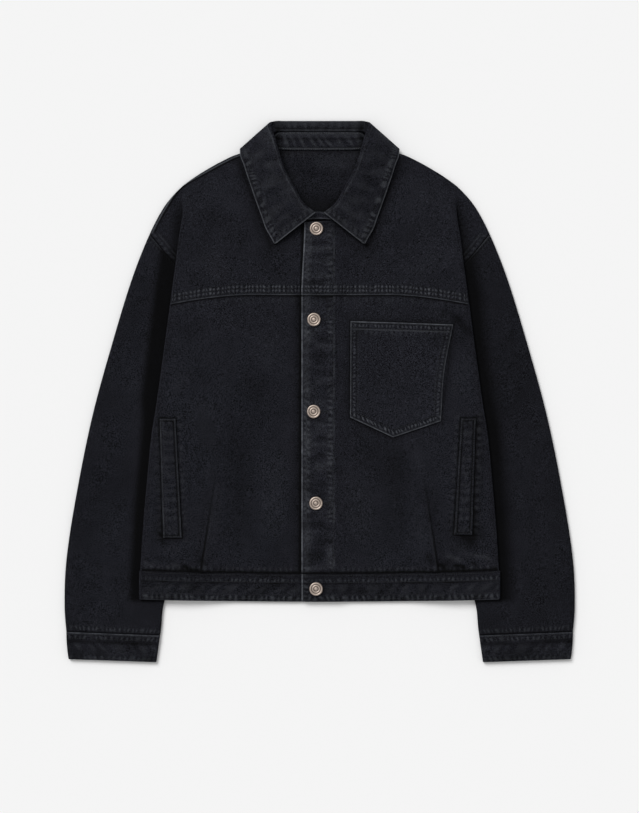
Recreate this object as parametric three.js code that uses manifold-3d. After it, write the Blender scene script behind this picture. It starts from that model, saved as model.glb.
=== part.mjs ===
// A buttoned denim jacket laid flat on its back with its sleeves brought down beside the body.
// Units are millimetres. X runs across the jacket, Y from the hem towards the collar, and Z up from
// the surface it lies on. The origin is the middle of its outline, on that surface.
// The side at +X is the wearer's left, which buttons over the side at -X.
import * as THREE from "three";
import { mergeVertices } from "three/addons/utils/BufferGeometryUtils.js";
import loadManifold from "manifold-3d";

// Cloth
const CLOTH = 1.2; // one layer of heavy denim
const DOUBLE = 2.2; // two layers sewn together
const UNDER_BAND = 1.8; // the turned-back edge that the buttons are riveted to
const SEAM_GAP = 0.3; // clearance between two pieces at a seam
const ARMHOLE_GAP = 0.9; // the same across the jacket at the armhole, whose seam runs aslant
const FELLED = 0.8; // how far a felled seam stands proud of its panel

// Heights of the layers
const SLEEVE_THICK = 6.0; // a flattened sleeve, both layers and the air in it
const ARMHOLE_THICK = 5.0; // the same at the armhole, and the body where nothing lies under it
const BODY_LIFT = SLEEVE_THICK + SEAM_GAP; // how far the sleeve under it lifts the body
const RAMP = 90; // how far the body takes to rise over the sleeve
const RAMP_END = 8; // how far from the sleeve's edge that rise is complete
const LEAF_LIFT = 2.8; // how far the collar leaf under it lifts the upper back
const BAND_RISE = 2.2; // how far the overlapped front bands stand above the fronts
const UNDER_DIP = 0.6; // how far the lower front band is pressed down
const LEAF_UNDER = { y: 298, x: 132 }; // the upper back is lifted above this height and inside this distance

// Body
const YOKE_SEAM = 133.1;
const YOKE_DROP = 12.5; // how far the yoke seam falls from the middle to the side
const YOKE_BEND = 95; // distance from the middle where that fall begins
const YOKE_SIDE = 209; // and where it ends
const WAIST_SEAM = -255.2;
const WAIST_RISE = 5; // how far the waistband's top edge rises towards the side
const HEM = -294.1;
const HEM_RISE = 3.6;
const FRONT_EDGE = -25.2; // the overlapping edge, past the middle
const FRONT_EDGE_TOP = -21.2; // the same at the collar
const BAND_STITCH = 19; // the band's inner row of stitches
const UNDER_EDGE = -15; // the edge under it, measured towards its own side
const UNDER_END = 24; // where the turned-back cloth of the band under it ends
const NECK_FRONT = 238; // where the front edge ends under the collar
const TUCK = 1.8; // height of the tuck above the waistband
const TUCK_SWELL = 24; // how far the cloth swells beside it
const TUCK_DROP = 3; // how wide its drop is

// The shoulder fold, where the yoke laps over the sleeve
const FOLD_START = 285; // it opens here, near the shoulder seam
const FOLD_FULL = 225; // from here down it is folded flat
const ROLL = 1.9; // radius of its outer turn, at mid-thickness
const CREASE = 1.25; // radius of its hidden turn
const EDGE_OUT = ROLL + CLOTH / 2;
const FOLD_SLOPE = 58; // how far the cloth takes to rise to the fold

// The outline of the shoulder and of the sleeve's outer edge
const OUTER_EDGE = [
  { y: -352, x: 353.1 },
  { y: -300, x: 357.1 },
  { y: -232, x: 354.1 },
  { y: -131, x: 338.1 },
  { y: -30, x: 317.1 },
  { y: 70, x: 289.6 },
  { y: 155, x: 263.6 },
  { y: 213.5, x: 241 },
  { y: 256, x: 219.2 },
  { y: 281, x: 198.8 },
  { y: 297.5, x: 178.4 },
  { y: 314.3, x: 151.6 },
  { y: 326, x: 129.5 },
  { y: 331, x: 117.5 },
  { y: 334, x: 105.5 },
  { y: 337, x: 88 },
];
// The sleeve's inner edge, mostly under the body
const INNER_EDGE = [
  { y: -379, x: 228.5 },
  { y: -332, x: 222 },
  { y: -299, x: 218.4 },
  { y: -200, x: 190 },
  { y: -100, x: 166 },
  { y: 0, x: 143 },
  { y: 70, x: 131 },
  { y: 105, x: 133 },
  { y: 130, x: 140 },
  { y: 153, x: 150 },
];
// The body's side, where the front folds round to the back
const SIDE_FOLD = [
  { y: -252, x: 250.6 },
  { y: -190, x: 246.8 },
  { y: -131, x: 242 },
  { y: -59.5, x: 235.2 },
  { y: -13.3, x: 228 },
  { y: 70.7, x: 216.3 },
  { y: 122.5, x: 209.3 },
  { y: 180, x: 201.2 },
  { y: 216.3, x: 196.7 },
  { y: 261, x: 188.3 },
  { y: 285, x: 184.8 },
];
// The armhole seam, from the armpit to the shoulder point
const ARMHOLE = [
  { y: 133, x: 122 },
  { y: 148, x: 160 },
  { y: 177.5, x: 201.5 },
  { y: 220, x: 238.1 },
];
const [armpit, shoulderPoint] = [ARMHOLE[1], ARMHOLE[3]]; // the sleeve's two ends of it
// The hidden crease of the shoulder fold
const CREASE_LINE = [
  { y: 125, x: 122 },
  { y: 133, x: 122 },
  { y: 190, x: 163 },
  { y: 235, x: 191 },
];
// The front neckline
const NECKLINE = [
  { y: 238, x: 12 },
  { y: 242, x: 32 },
  { y: 250, x: 45 },
  { y: 265, x: 56 },
  { y: 290, x: 66 },
  { y: 320, x: 71 },
  { y: 337, x: 72.5 },
];
// The side seam, on the underside
const SIDE_SEAM_TOP = 119.85;
const SIDE_SEAM_HEM = 232;
// The tuck's line above the waistband
const TUCK_HEM = 166;
const TUCK_LEAN = 0.153; // how far it leans inwards for each millimetre up
const TUCK_LENGTH = 150;

// The chest pocket's corners, round from the top inner one
const POCKET = [
  [43.3, 96.7],
  [42.6, -36.1],
  [102.6, -64],
  [169, -41.2],
  [170.5, 28],
  [186, 91.7],
];
const POCKET_THICK = 1.5;
const PATCH_REACH = 40; // higher than every piece that is cut to an outline
// The two side pockets' welts: inner and outer edge at the top and at the foot
const WELTS = [
  { side: -1, top: -38.3, foot: -203.8, inTop: 201.5, outTop: 223, inFoot: 192.6, outFoot: 218 },
  { side: 1, top: -37.8, foot: -199.6, inTop: 199.5, outTop: 219.5, inFoot: 189.7, outFoot: 214.3 },
];
const WELT_THICK = 1.6;

// The buttons, down the front
const BUTTONS = [
  { name: "button_1", x: -4.5, y: 227.6 },
  { name: "button_2", x: -8.0, y: 100.5 },
  { name: "button_3", x: -8.4, y: -28.0 },
  { name: "button_4", x: -5.2, y: -156.2 },
  { name: "button_5", x: -5.0, y: -275.8 },
];
const BUTTON_PROFILE = [
  { radius: 0, height: 0 },
  { radius: 8.4, height: 0 },
  { radius: 9.4, height: 0.9 },
  { radius: 9.2, height: 1.9 },
  { radius: 7.9, height: 2.6 },
  { radius: 6.3, height: 2.0 },
  { radius: 4.6, height: 2.0 },
  { radius: 3.2, height: 3.0 },
  { radius: 0, height: 3.2 },
];
const BUTTON_SIDES = 16;

// The cuffs
const CUFF_THICK = 6.8;
const CUFF = { topOuter: -336, topInner: -341, footOuter: -374.4, footInner: -378.7, outerFootX: 351.5 };

// The collar, from the front end of the leaf at "front" round to the middle of the back. neck is where
// the stand meets the body, seam where it meets the leaf, roll the extreme of the leaf's fold, and edge
// the leaf's outer edge. over is 0 where the leaf lies over the stand and 1 where it lies under it.
const COLLAR = [
  { name: "front", neck: [17, 240.4, 6.6], seam: [11, 246.8, 8.6],
    roll: [6.2, 249, 11.6], edge: [63.4, 204.6, 8.8], over: 0 },
  { name: "front_side", neck: [41, 250.4, 6.0], seam: [28.5, 257, 9.4],
    roll: [21, 260.6, 12.6], edge: [73.4, 236.5, 7.8], over: 0 },
  { name: "middle", neck: [56.5, 276.4, 5.6], seam: [44, 282, 10],
    roll: [36.4, 286, 13.6], edge: [84.6, 268, 7.6], over: 0 },
  { name: "high", neck: [65, 303.4, 6.2], seam: [55, 307, 11],
    roll: [49, 309, 14.6], edge: [95.2, 299, 8.8], over: 0 },
  { name: "shoulder", neck: [68.4, 326, 7.8], seam: [61, 331, 11.6],
    roll: [57.4, 334, 15], edge: [104, 324, 10.6], over: 0.04 },
  { name: "rim_over", neck: [69.6, 334.6, 7.6], seam: [64.2, 343, 10.2],
    roll: [63, 354, 13.8], edge: [109.2, 333.2, 10.6], over: 0.2 },
  { name: "rim", neck: [68.6, 340.4, 5.8], seam: [63.4, 354.6, 8.0],
    roll: [68.4, 374.6, 7.6], edge: [111, 338.2, 6.4], over: 0.5 },
  { name: "rim_under", neck: [63.6, 339.6, 4.5], seam: [59.6, 361, 6.0],
    roll: [63.4, 377.2, 3.4], edge: [108, 335.4, 1.3], over: 0.85 },
  { name: "back_side", neck: [48, 338.2, 3.9], seam: [48, 362.4, 4.6],
    roll: [48, 377.6, 2.8], edge: [66, 323.4, 1.2], over: 1 },
  { name: "back", neck: [22, 337.8, 3.9], seam: [22, 362.6, 4.4],
    roll: [22, 377.6, 2.8], edge: [30, 321.6, 1.2], over: 1 },
];
// The stand's front ends past the leaf: the one over and, on the other side, the one under.
const STAND_ENDS = [
  { neck: [0, 241, 6.1], seam: [0, 251.6, 6.9] },
  { neck: [-19, 241, 6.0], seam: [-19, 250.6, 6.4] },
];
const STAND_END_DROP = 2.4;
const LEAF_ROLL = 1.62; // radius of the leaf's fold at mid-thickness
const STAND = 1.8; // thickness of the stand

const lerp = (a, b, t) => a + (b - a) * t;
const clamp01 = (t) => Math.min(1, Math.max(0, t));
const ease = (t) => clamp01(t) ** 2 * (3 - 2 * clamp01(t));

// A smooth cubic through a table's rows: the value of one column where another column has a value.
function through(table, by, column) {
  const at = table.map((row) => row[by]);
  const value = table.map((row) => row[column]);
  const last = at.length - 1;
  const slope = value.map((_, i) => {
    const [a, b] = [Math.max(i - 1, 0), Math.min(i + 1, last)];
    return (value[b] - value[a]) / (at[b] - at[a]);
  });
  return (place) => {
    const p = Math.min(at[last], Math.max(at[0], place));
    const i = Math.min(last - 1, Math.max(0, at.findIndex((v) => v >= p) - 1));
    const span = at[i + 1] - at[i];
    const t = (p - at[i]) / span;
    const [t2, t3] = [t * t, t * t * t];
    return (
      value[i] * (2 * t3 - 3 * t2 + 1) +
      slope[i] * span * (t3 - 2 * t2 + t) +
      value[i + 1] * (3 * t2 - 2 * t3) +
      slope[i + 1] * span * (t3 - t2)
    );
  };
}

const outerEdge = through(OUTER_EDGE, "y", "x");
const innerEdge = through(INNER_EDGE, "y", "x");
const sideFold = through(SIDE_FOLD, "y", "x");
const armhole = through(ARMHOLE, "y", "x");
const creaseLine = through(CREASE_LINE, "y", "x");
const neckline = through(NECKLINE, "y", "x");

const pastBend = (x) => Math.max(0, (Math.abs(x) - YOKE_BEND) / (YOKE_SIDE - YOKE_BEND));
const yokeSeam = (x) => YOKE_SEAM - YOKE_DROP * pastBend(x) ** 1.7;
const waistSeam = (x) => WAIST_SEAM + WAIST_RISE * (x / 250) ** 2;
const hemLine = (x) => HEM + HEM_RISE * (x / 250) ** 2;
const belowYoke = (y) => (YOKE_SEAM - y) / (YOKE_SEAM - WAIST_SEAM);
const sideSeam = (y) => lerp(SIDE_SEAM_TOP, SIDE_SEAM_HEM, belowYoke(y));

// How far the shoulder fold has turned at a height y, and how far that drops the cloth past it.
const foldAngle = (y) => Math.PI * ease((FOLD_START - y) / (FOLD_START - FOLD_FULL));
const turnDrop = (angle) =>
  angle < 0.01 ? 0 : (Math.PI * (ROLL + CREASE) * (1 - Math.cos(angle))) / angle;

// Where the collar leaf lies under the upper back, it lifts both layers of the body.
const leafLift = (x, y) =>
  LEAF_LIFT * ease((y - LEAF_UNDER.y) / 18) * ease((LEAF_UNDER.x - Math.abs(x)) / 24);
// Where the sleeve lies under the body, from 0 beside it to 1 over it.
const overSleeve = (x, y) => ease((Math.abs(x) - innerEdge(y) + RAMP_END + RAMP) / RAMP);

// Height of the back's underside.
const backFloor = (x, y) => BODY_LIFT * overSleeve(x, y) * ease((141 - y) / 30) + leafLift(x, y);

// Height of the front's outer face, without its bands and seams.
function frontTop(x, y) {
  const sleeve = overSleeve(x, y) * ease((200 - y) / 70);
  const nearFold = ease((Math.abs(x) - sideFold(y) + EDGE_OUT) / FOLD_SLOPE + 1);
  const fold = (turnDrop(foldAngle(y)) / BODY_LIFT) * nearFold;
  return ARMHOLE_THICK + BODY_LIFT * (1 - (1 - sleeve) * (1 - fold)) + leafLift(x, y) + tuck(x, y);
}

// The tuck: the cloth rises towards its line and drops past it.
function tuck(x, y) {
  const from = tuckLine(y) - Math.abs(x);
  const fade = ease(1 - (y - WAIST_SEAM) / TUCK_LENGTH);
  const shape = from > 0 ? Math.exp(-((from / TUCK_SWELL) ** 2)) : ease(1 + from / TUCK_DROP);
  return TUCK * fade * shape;
}
function tuckLine(y) {
  return TUCK_HEM - TUCK_LEAN * (y - WAIST_SEAM);
}

// The front bands: side 1 laps over side -1. x is measured towards the front's own side.
const bandRise = (side, x) =>
  side > 0 ? BAND_RISE * ease((BAND_STITCH + 24 - x) / 22) : -UNDER_DIP * ease((UNDER_END + 10 - x) / 6);
const bandThick = (side, x) =>
  side > 0
    ? lerp(CLOTH, DOUBLE, ease((BAND_STITCH + 2 - x) / 2.5))
    : lerp(CLOTH, UNDER_BAND, ease((UNDER_END - x) / 4));
const frontEdge = (side, y) =>
  side > 0 ? lerp(FRONT_EDGE, FRONT_EDGE_TOP, ease((y - YOKE_SEAM) / 100)) : UNDER_EDGE;

// Values spread evenly from a to b, leaving out a.
const spread = (a, b, count) => Array.from({ length: count }, (_, i) => lerp(a, b, (i + 1) / count));

// A closed wall round a grid of mid-thickness points, rows of { p, thick } all of one length. Its two
// faces are the points moved both ways along the surface's normal.
function wall(rows) {
  const [rowEnd, end] = [rows.length - 1, rows[0].length - 1];
  const at = (i, j) => rows[Math.min(rowEnd, Math.max(0, i))][Math.min(end, Math.max(0, j))].p;
  const faces = [[], []];
  rows.forEach((row, i) =>
    row.forEach(({ p, thick }, j) => {
      const across = at(i, j + 1).clone().sub(at(i, j - 1));
      const along = at(i + 1, j).clone().sub(at(i - 1, j));
      const normal = across.cross(along).normalize();
      faces[0].push(p.clone().addScaledVector(normal, thick / 2));
      faces[1].push(p.clone().addScaledVector(normal, -thick / 2));
    }),
  );
  return shell(faces[0], faces[1], rows.length, rows[0].length, false);
}

// A closed solid between two faces given point by point, row by row. In a ring the rows close up.
function shell(upper, lower, rowCount, count, ring) {
  const size = rowCount * count;
  const top = size - count;
  const index = [];
  const quad = (a, b, c, d) => index.push(a, b, c, a, c, d);
  for (let j = 0; j < (ring ? count : count - 1); j++) {
    const next = (j + 1) % count;
    for (let a = j, b = next; a < top; a += count, b += count) {
      quad(a, b, b + count, a + count);
      quad(size + a, size + a + count, size + b + count, size + b);
    }
    quad(j, size + j, size + next, next);
    quad(top + j, top + next, size + top + next, size + top + j);
  }
  for (let a = 0, b = count - 1; a < top && !ring; a += count, b += count) {
    quad(a, a + count, size + a + count, size + a);
    quad(b, size + b, size + b + count, b + count);
  }
  return solid([...upper, ...lower], index);
}

// A geometry from points and triangles, turned so that its faces point out.
function solid(points, index) {
  let volume = 0;
  for (let k = 0; k < index.length; k += 3) {
    const [a, b, c] = [points[index[k]], points[index[k + 1]], points[index[k + 2]]];
    volume += a.dot(b.clone().cross(c));
  }
  const ordered = volume < 0 ? index.map((_, k) => index[k - (k % 3) + [0, 2, 1][k % 3]]) : index;
  const geometry = new THREE.BufferGeometry();
  geometry.setAttribute("position", new THREE.Float32BufferAttribute(points.flatMap((p) => p.toArray()), 3));
  geometry.setIndex(ordered);
  geometry.computeVertexNormals();
  return geometry;
}

// A path across the jacket: it starts flat and can turn over. Its height up the jacket comes from its
// distance x from the middle, and its headings turn downwards.
class Path {
  constructor(side, height) {
    this.side = side;
    this.height = height;
    this.points = [];
  }
  to(x, z, thick = CLOTH) {
    this.x = x;
    this.z = z;
    this.points.push({ p: new THREE.Vector3(this.side * x, this.height(x), z), thick });
  }
  // An arc of a given length that turns from one heading by an angle, in a few steps.
  turn(length, from, angle, steps) {
    const chord = angle === 0 ? length / steps : (2 * length * Math.sin(angle / steps / 2)) / angle;
    for (let k = 0; k < steps; k++) {
      const heading = from + (angle * (k + 0.5)) / steps;
      this.to(this.x + chord * Math.cos(heading), this.z - chord * Math.sin(heading));
    }
  }
  // Straight on to x, in a few steps.
  flat(x, steps) {
    for (const place of spread(this.x, x, steps)) {
      this.to(place, this.z);
    }
  }
  // A rounded rim from here out to x and a height, which it meets upright.
  rim(x, z) {
    const [flat, level] = [this.x, this.z];
    for (const turn of [0.45, 0.85, 1].map((t) => (t * Math.PI) / 2)) {
      this.to(lerp(flat, x, Math.sin(turn)), lerp(z, level, Math.cos(turn)));
    }
  }
}

// The places across a front panel where its points lie, out to the side's fold.
const FRONT_COLUMNS = 17;
function frontColumns(side, y, turnAt) {
  const [start, line] = [frontEdge(side, y), tuckLine(y)];
  return [
    start,
    ...spread(start, BAND_STITCH - 0.5, 3),
    BAND_STITCH + 2.5,
    ...spread(BAND_STITCH + 2.5, line - 0.6, 7),
    line + 2.4,
    ...spread(line + 2.4, turnAt, 4),
  ];
}

// The lower front: its outer face, the fold at the side, and the strip under it out to the side seam.
const LOWER_ROWS = 13;
function lowerFront(side) {
  const rows = [];
  for (let i = 0; i <= LOWER_ROWS; i++) {
    const v = i / LOWER_ROWS;
    const height = (x) => lerp(waistSeam(x) + SEAM_GAP / 2, yokeSeam(x) - SEAM_GAP * 0.7, v);
    const path = new Path(side, height);
    const y = height(200);
    const turnAt = sideFold(y) - EDGE_OUT;
    const seam = sideSeam(height(sideSeam(y)));
    for (const x of frontColumns(side, y, turnAt)) {
      const thick = bandThick(side, x);
      path.to(x, frontTop(x, height(x)) + bandRise(side, x) - thick / 2, thick);
    }
    path.turn(Math.PI * ROLL, 0, Math.PI, 5);
    path.flat(seam + SEAM_GAP / 2, 3);
    rows.push(path.points);
  }
  return rows;
}

// The yoke: its outer face, the shoulder fold with its hidden return, and the part past the fold out to
// the shoulder's edge or the armhole seam.
const ARMHOLE_LEVELS = [152, 168, 186, 203, 219.5];
const SHOULDER_LEVELS = [220.5, 230, 239.5, 249.5, 260, 272, 284, 298, 311, 323, 331, 336.6];
const YOKE_LEVELS = [YOKE_SEAM, YOKE_SEAM + 10, YOKE_SEAM + 13, ...ARMHOLE_LEVELS, ...SHOULDER_LEVELS];
function yoke(side) {
  return YOKE_LEVELS.map((level) => {
    const share = ease((205 - level) / (205 - YOKE_SEAM));
    const height = (x) => level + (yokeSeam(x) - YOKE_SEAM + SEAM_GAP / 2) * share;
    const path = new Path(side, height);
    const y = height(200);
    const onShoulder = level > shoulderPoint.y;
    const end = onShoulder ? outerEdge(y) : armhole(y) - ARMHOLE_GAP;
    const angle = foldAngle(y);
    const tight = Math.min(1, (end - 70) / 60);
    const edge = rimWidth(y);
    const shoulderTurn = onShoulder ? end - Math.min(edge, 10) - 8 * tight : outerEdge(y);
    const turnAt = Math.min(sideFold(y) - EDGE_OUT, shoulderTurn);
    const start = level < NECK_FRONT ? frontEdge(side, level) : neckline(level);
    const even = [start, ...spread(start, turnAt, FRONT_COLUMNS - 1)];
    const spacing = ease((level - YOKE_SEAM) / (NECK_FRONT - YOKE_SEAM - 10));
    frontColumns(side, YOKE_SEAM, turnAt).forEach((column, k) => {
      const x = lerp(column, even[k], spacing);
      const clearOfBand = side > 0 ? 1 : ease((x - UNDER_END - 10) / 6);
      const felled = FELLED * clearOfBand * ease((YOKE_SEAM + 13 - level) / 3);
      const thick = bandThick(side, x) + felled;
      path.to(x, frontTop(x, height(x)) + bandRise(side, x) + felled - thick / 2, thick);
    });
    path.turn(Math.PI * ROLL * tight, 0, angle, 4);
    const reach = Math.max(0.6, turnAt - creaseLine(y));
    path.turn(lerp(0.6 * tight, reach, ease((angle - 2.3) / 0.84)), angle, 0, 3);
    path.turn(Math.PI * CREASE * tight, angle, -angle, 4);
    const flat = Math.max(path.x + 0.5, end - edge);
    const lower = ARMHOLE_THICK - CLOTH / 2 + leafLift(flat, y);
    path.to(lerp(path.x, flat, 0.5), lerp(path.z, lower, 0.5));
    path.to(flat, lower);
    if (onShoulder) {
      path.rim(end - (edge * CLOTH) / 2 / EDGE_OUT, (lower + backFloor(flat, y) + CLOTH / 2) / 2 + SEAM_GAP);
    } else {
      path.flat(end, 3);
    }
    return path.points;
  });
}
// How far in from the shoulder's edge its rounding starts, across the jacket: more where the edge slants.
const rimWidth = (y) => EDGE_OUT * Math.hypot(1, (outerEdge(y + 2) - outerEdge(y - 2)) / 4);

// The back, in one piece from side seam to side seam, with its shoulder edges turned up to the yokes.
const BACK_LEVELS = [WAIST_SEAM, -190, -120, -50, 20, 70, 98, 111, 122, 132, 142];
function back() {
  return [...BACK_LEVELS, ...ARMHOLE_LEVELS, ...SHOULDER_LEVELS].map((level) => {
    const height = (x) => (level === WAIST_SEAM ? waistSeam(x) + SEAM_GAP / 2 : level);
    const onShoulder = level > shoulderPoint.y;
    const seam = sideSeam(height(sideSeam(level))) - SEAM_GAP / 2;
    const underArm = lerp(seam, armhole(level) - ARMHOLE_GAP, ease((level - 136) / 14));
    const end = onShoulder ? outerEdge(level) : underArm;
    const edge = onShoulder ? rimWidth(level) : EDGE_OUT;
    const ramp = Math.min(innerEdge(level) - RAMP_END, end - edge - 10);
    const path = new Path(1, height);
    const foot = Math.max(20, ramp - RAMP);
    const places = [0, foot, ...spread(foot, ramp, 4), ...spread(ramp, end - edge, 2)];
    for (const x of places) {
      path.to(x, backFloor(x, height(x)) + CLOTH / 2);
    }
    if (onShoulder) {
      const top = ARMHOLE_THICK - CLOTH / 2 + leafLift(path.x, level);
      path.rim(end - (edge * CLOTH) / 2 / EDGE_OUT, (top + path.z) / 2 - SEAM_GAP);
    } else {
      path.flat(end, 3);
    }
    const other = path.points.slice(1).map(({ p, thick }) => ({ p: p.clone().setX(-p.x), thick }));
    return [...other.reverse(), ...path.points];
  });
}

// The section of a flattened tube, as distances from its inner end and heights: it lies flat on the
// surface, its two ends are round, and inset moves it inside itself by the cloth's thickness.
function flatSection(width, thick, inset) {
  const [radius, r] = [thick / 2, thick / 2 - inset];
  const turns = [1, 2, 3].map((k) => (k / 4) * Math.PI);
  return [
    ...[0, ...spread(0, 1, 4)].map((t) => [lerp(radius, width - radius, t), inset]),
    ...turns.map((angle) => [width - radius + r * Math.sin(angle), radius - r * Math.cos(angle)]),
    ...[0, ...spread(0, 1, 5)].map((t) => [lerp(width - radius, radius, t), thick - inset]),
    ...turns.map((angle) => [radius - r * Math.sin(angle), radius + r * Math.cos(angle)]),
  ];
}

// A flattened tube through stations of { inner, outer, thick, bow }: the two edges' places, and a
// function of the share of the way between them that bends the line from one to the other.
function flatTube(side, stations, cloth) {
  const faces = [0, cloth].map((inset) =>
    stations.flatMap(({ inner, outer, thick, bow }) => {
      const width = Math.hypot(outer[0] - inner[0], outer[1] - inner[1]);
      return flatSection(width, thick, inset).map(([d, z]) => {
        const share = d / width;
        const x = side * lerp(inner[0], outer[0], share);
        return new THREE.Vector3(x, lerp(inner[1], outer[1], share) + bow(share), z);
      });
    }),
  );
  const count = faces[0].length / stations.length;
  return shell(faces[0], faces[1], stations.length, count, true);
}

const SLEEVE_STATIONS = 16;
const armholeHeight = through(ARMHOLE, "x", "y");
const armholeBow = (share) =>
  armholeHeight(lerp(armpit.x, shoulderPoint.x, share)) - lerp(armpit.y, shoulderPoint.y, share);
function sleeve(side) {
  const stations = [0, ...spread(0, 1, SLEEVE_STATIONS)].map((step) => {
    const s = step ** 1.15;
    const outer = lerp(shoulderPoint.y, CUFF.topOuter, s);
    const inner = lerp(armpit.y, CUFF.topInner, s);
    const start = s === 0;
    return {
      inner: [start ? armpit.x : innerEdge(inner), inner],
      outer: [outerEdge(outer), outer],
      thick: lerp(ARMHOLE_THICK, SLEEVE_THICK, ease(s / 0.12)),
      bow: (share) => armholeBow(share) * (1 - s) ** 6,
    };
  });
  return flatTube(side, stations, CLOTH);
}

function cuff(side) {
  const stations = [0, 0.3, 0.85, 1].map((t) => {
    const outer = lerp(CUFF.topOuter - SEAM_GAP, CUFF.footOuter, t);
    const inner = lerp(CUFF.topInner - SEAM_GAP, CUFF.footInner, t);
    const outerX = lerp(outerEdge(CUFF.topOuter), CUFF.outerFootX, t * t);
    return { inner: [innerEdge(inner), inner], outer: [outerX, outer], thick: CUFF_THICK, bow: () => 0 };
  });
  return flatTube(side, stations, DOUBLE);
}

// The waistband, one strip from the overlapping front edge round the back to the edge under it.
function waistband() {
  return [0, 0.28, 0.62, 1].map((v) => {
    const path = new Path(1, (x) => lerp(waistSeam(x) - SEAM_GAP / 2, hemLine(x), v));
    const y = lerp(WAIST_SEAM, HEM, v);
    const turnAt = sideFold(WAIST_SEAM) + 1.2 - EDGE_OUT;
    const ramp = innerEdge(y) - RAMP_END;
    const topAt = (side, x) =>
      frontTop(x, WAIST_SEAM) - tuck(x, WAIST_SEAM) + FELLED + bandRise(side, x) - DOUBLE / 2;
    const floorAt = (x) => backFloor(x, y) + DOUBLE / 2;
    const middle = (topAt(1, turnAt) + floorAt(turnAt)) / 2;
    const reach = topAt(1, turnAt) - middle;
    const over = [FRONT_EDGE, ...spread(FRONT_EDGE, 20, 3), ...spread(20, turnAt, 10)];
    const turns = [1, 2, 3, 4].map((k) => (k / 5) * Math.PI);
    const below = [turnAt, ...spread(turnAt, ramp, 2), ...spread(ramp, ramp - RAMP, 4), 0];
    const under = [turnAt, ...spread(turnAt, 34, 9), 27, ...spread(27, UNDER_EDGE, 3)];
    const line = [
      ...over.map((x) => [x, topAt(1, x)]),
      ...turns.map((turn) => [turnAt + ROLL * Math.sin(turn), middle + reach * Math.cos(turn)]),
      ...below.map((x) => [x, floorAt(x)]),
      ...below.slice(0, -1).reverse().map((x) => [-x, floorAt(x)]),
      ...turns.map((turn) => [-turnAt - ROLL * Math.sin(turn), middle - reach * Math.cos(turn)]),
      ...under.map((x) => [-x, topAt(-1, x)]),
    ];
    for (const [x, z] of line) {
      path.to(x, z, DOUBLE);
    }
    return path.points;
  });
}

const solids = await loadManifold();
solids.setup();

// A closed geometry as a solid that can be cut.
function cuttable(geometry) {
  geometry.deleteAttribute("normal");
  geometry.deleteAttribute("uv");
  const merged = mergeVertices(geometry);
  const [vertProperties, triVerts] = [merged.attributes.position.array, new Uint32Array(merged.index.array)];
  return new solids.Manifold(new solids.Mesh({ numProp: 3, vertProperties, triVerts }));
}

// A piece that lies on a front: the panel's own outer face moved out, cut to the piece's outline.
function patch(panel, outline, thick) {
  const outside = panel.flatMap((row) => row.slice(0, FRONT_COLUMNS));
  const faces = [SEAM_GAP + thick, SEAM_GAP].map((lift) =>
    outside.map((at) => at.p.clone().setZ(at.p.z + at.thick / 2 + lift)),
  );
  const layer = shell(faces[0], faces[1], panel.length, FRONT_COLUMNS, false);
  const shape = new THREE.Shape(outline.map(([x, y]) => new THREE.Vector2(x, y)));
  const prism = new THREE.ExtrudeGeometry(shape, { depth: PATCH_REACH, bevelEnabled: false });
  const cut = cuttable(layer).intersect(cuttable(prism)).getMesh();
  const point = (_, i) => new THREE.Vector3().fromArray(cut.vertProperties, i * cut.numProp);
  return solid(Array.from({ length: cut.numVert }, point), Array.from(cut.triVerts));
}

const weltOutline = ({ side, top, foot, inTop, outTop, inFoot, outFoot }) => [
  [side * inTop, top],
  [side * inFoot, foot],
  [side * outFoot, foot],
  [side * outTop, top],
];

function button({ x, y }) {
  const profile = BUTTON_PROFILE.map(({ radius, height }) => new THREE.Vector2(radius, height));
  const geometry = new THREE.LatheGeometry(profile, BUTTON_SIDES);
  geometry.rotateX(Math.PI / 2);
  const onWaistband = y < WAIST_SEAM ? FELLED : 0;
  geometry.translate(x, y, ARMHOLE_THICK + BAND_RISE + onWaistband + SEAM_GAP);
  return geometry;
}

// A smooth curve along the collar through one column of its table and the same mirrored, in even steps
// of the table's rows.
const COLLAR_STEPS = 34;
function collarLine(column) {
  const half = COLLAR.map((row) => new THREE.Vector3(...(column === "over" ? [0, 0, row.over] : row[column])));
  const other = half.map((p) => p.clone().setX(-p.x));
  const curve = new THREE.CatmullRomCurve3([...other, ...half.reverse()], false, "chordal");
  return curve.getPoints(COLLAR_STEPS);
}
const [neckLine, seamLine] = [collarLine("neck"), collarLine("seam")];
const [rollLine, edgeLine, overLine] = [collarLine("roll"), collarLine("edge"), collarLine("over")];

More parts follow.
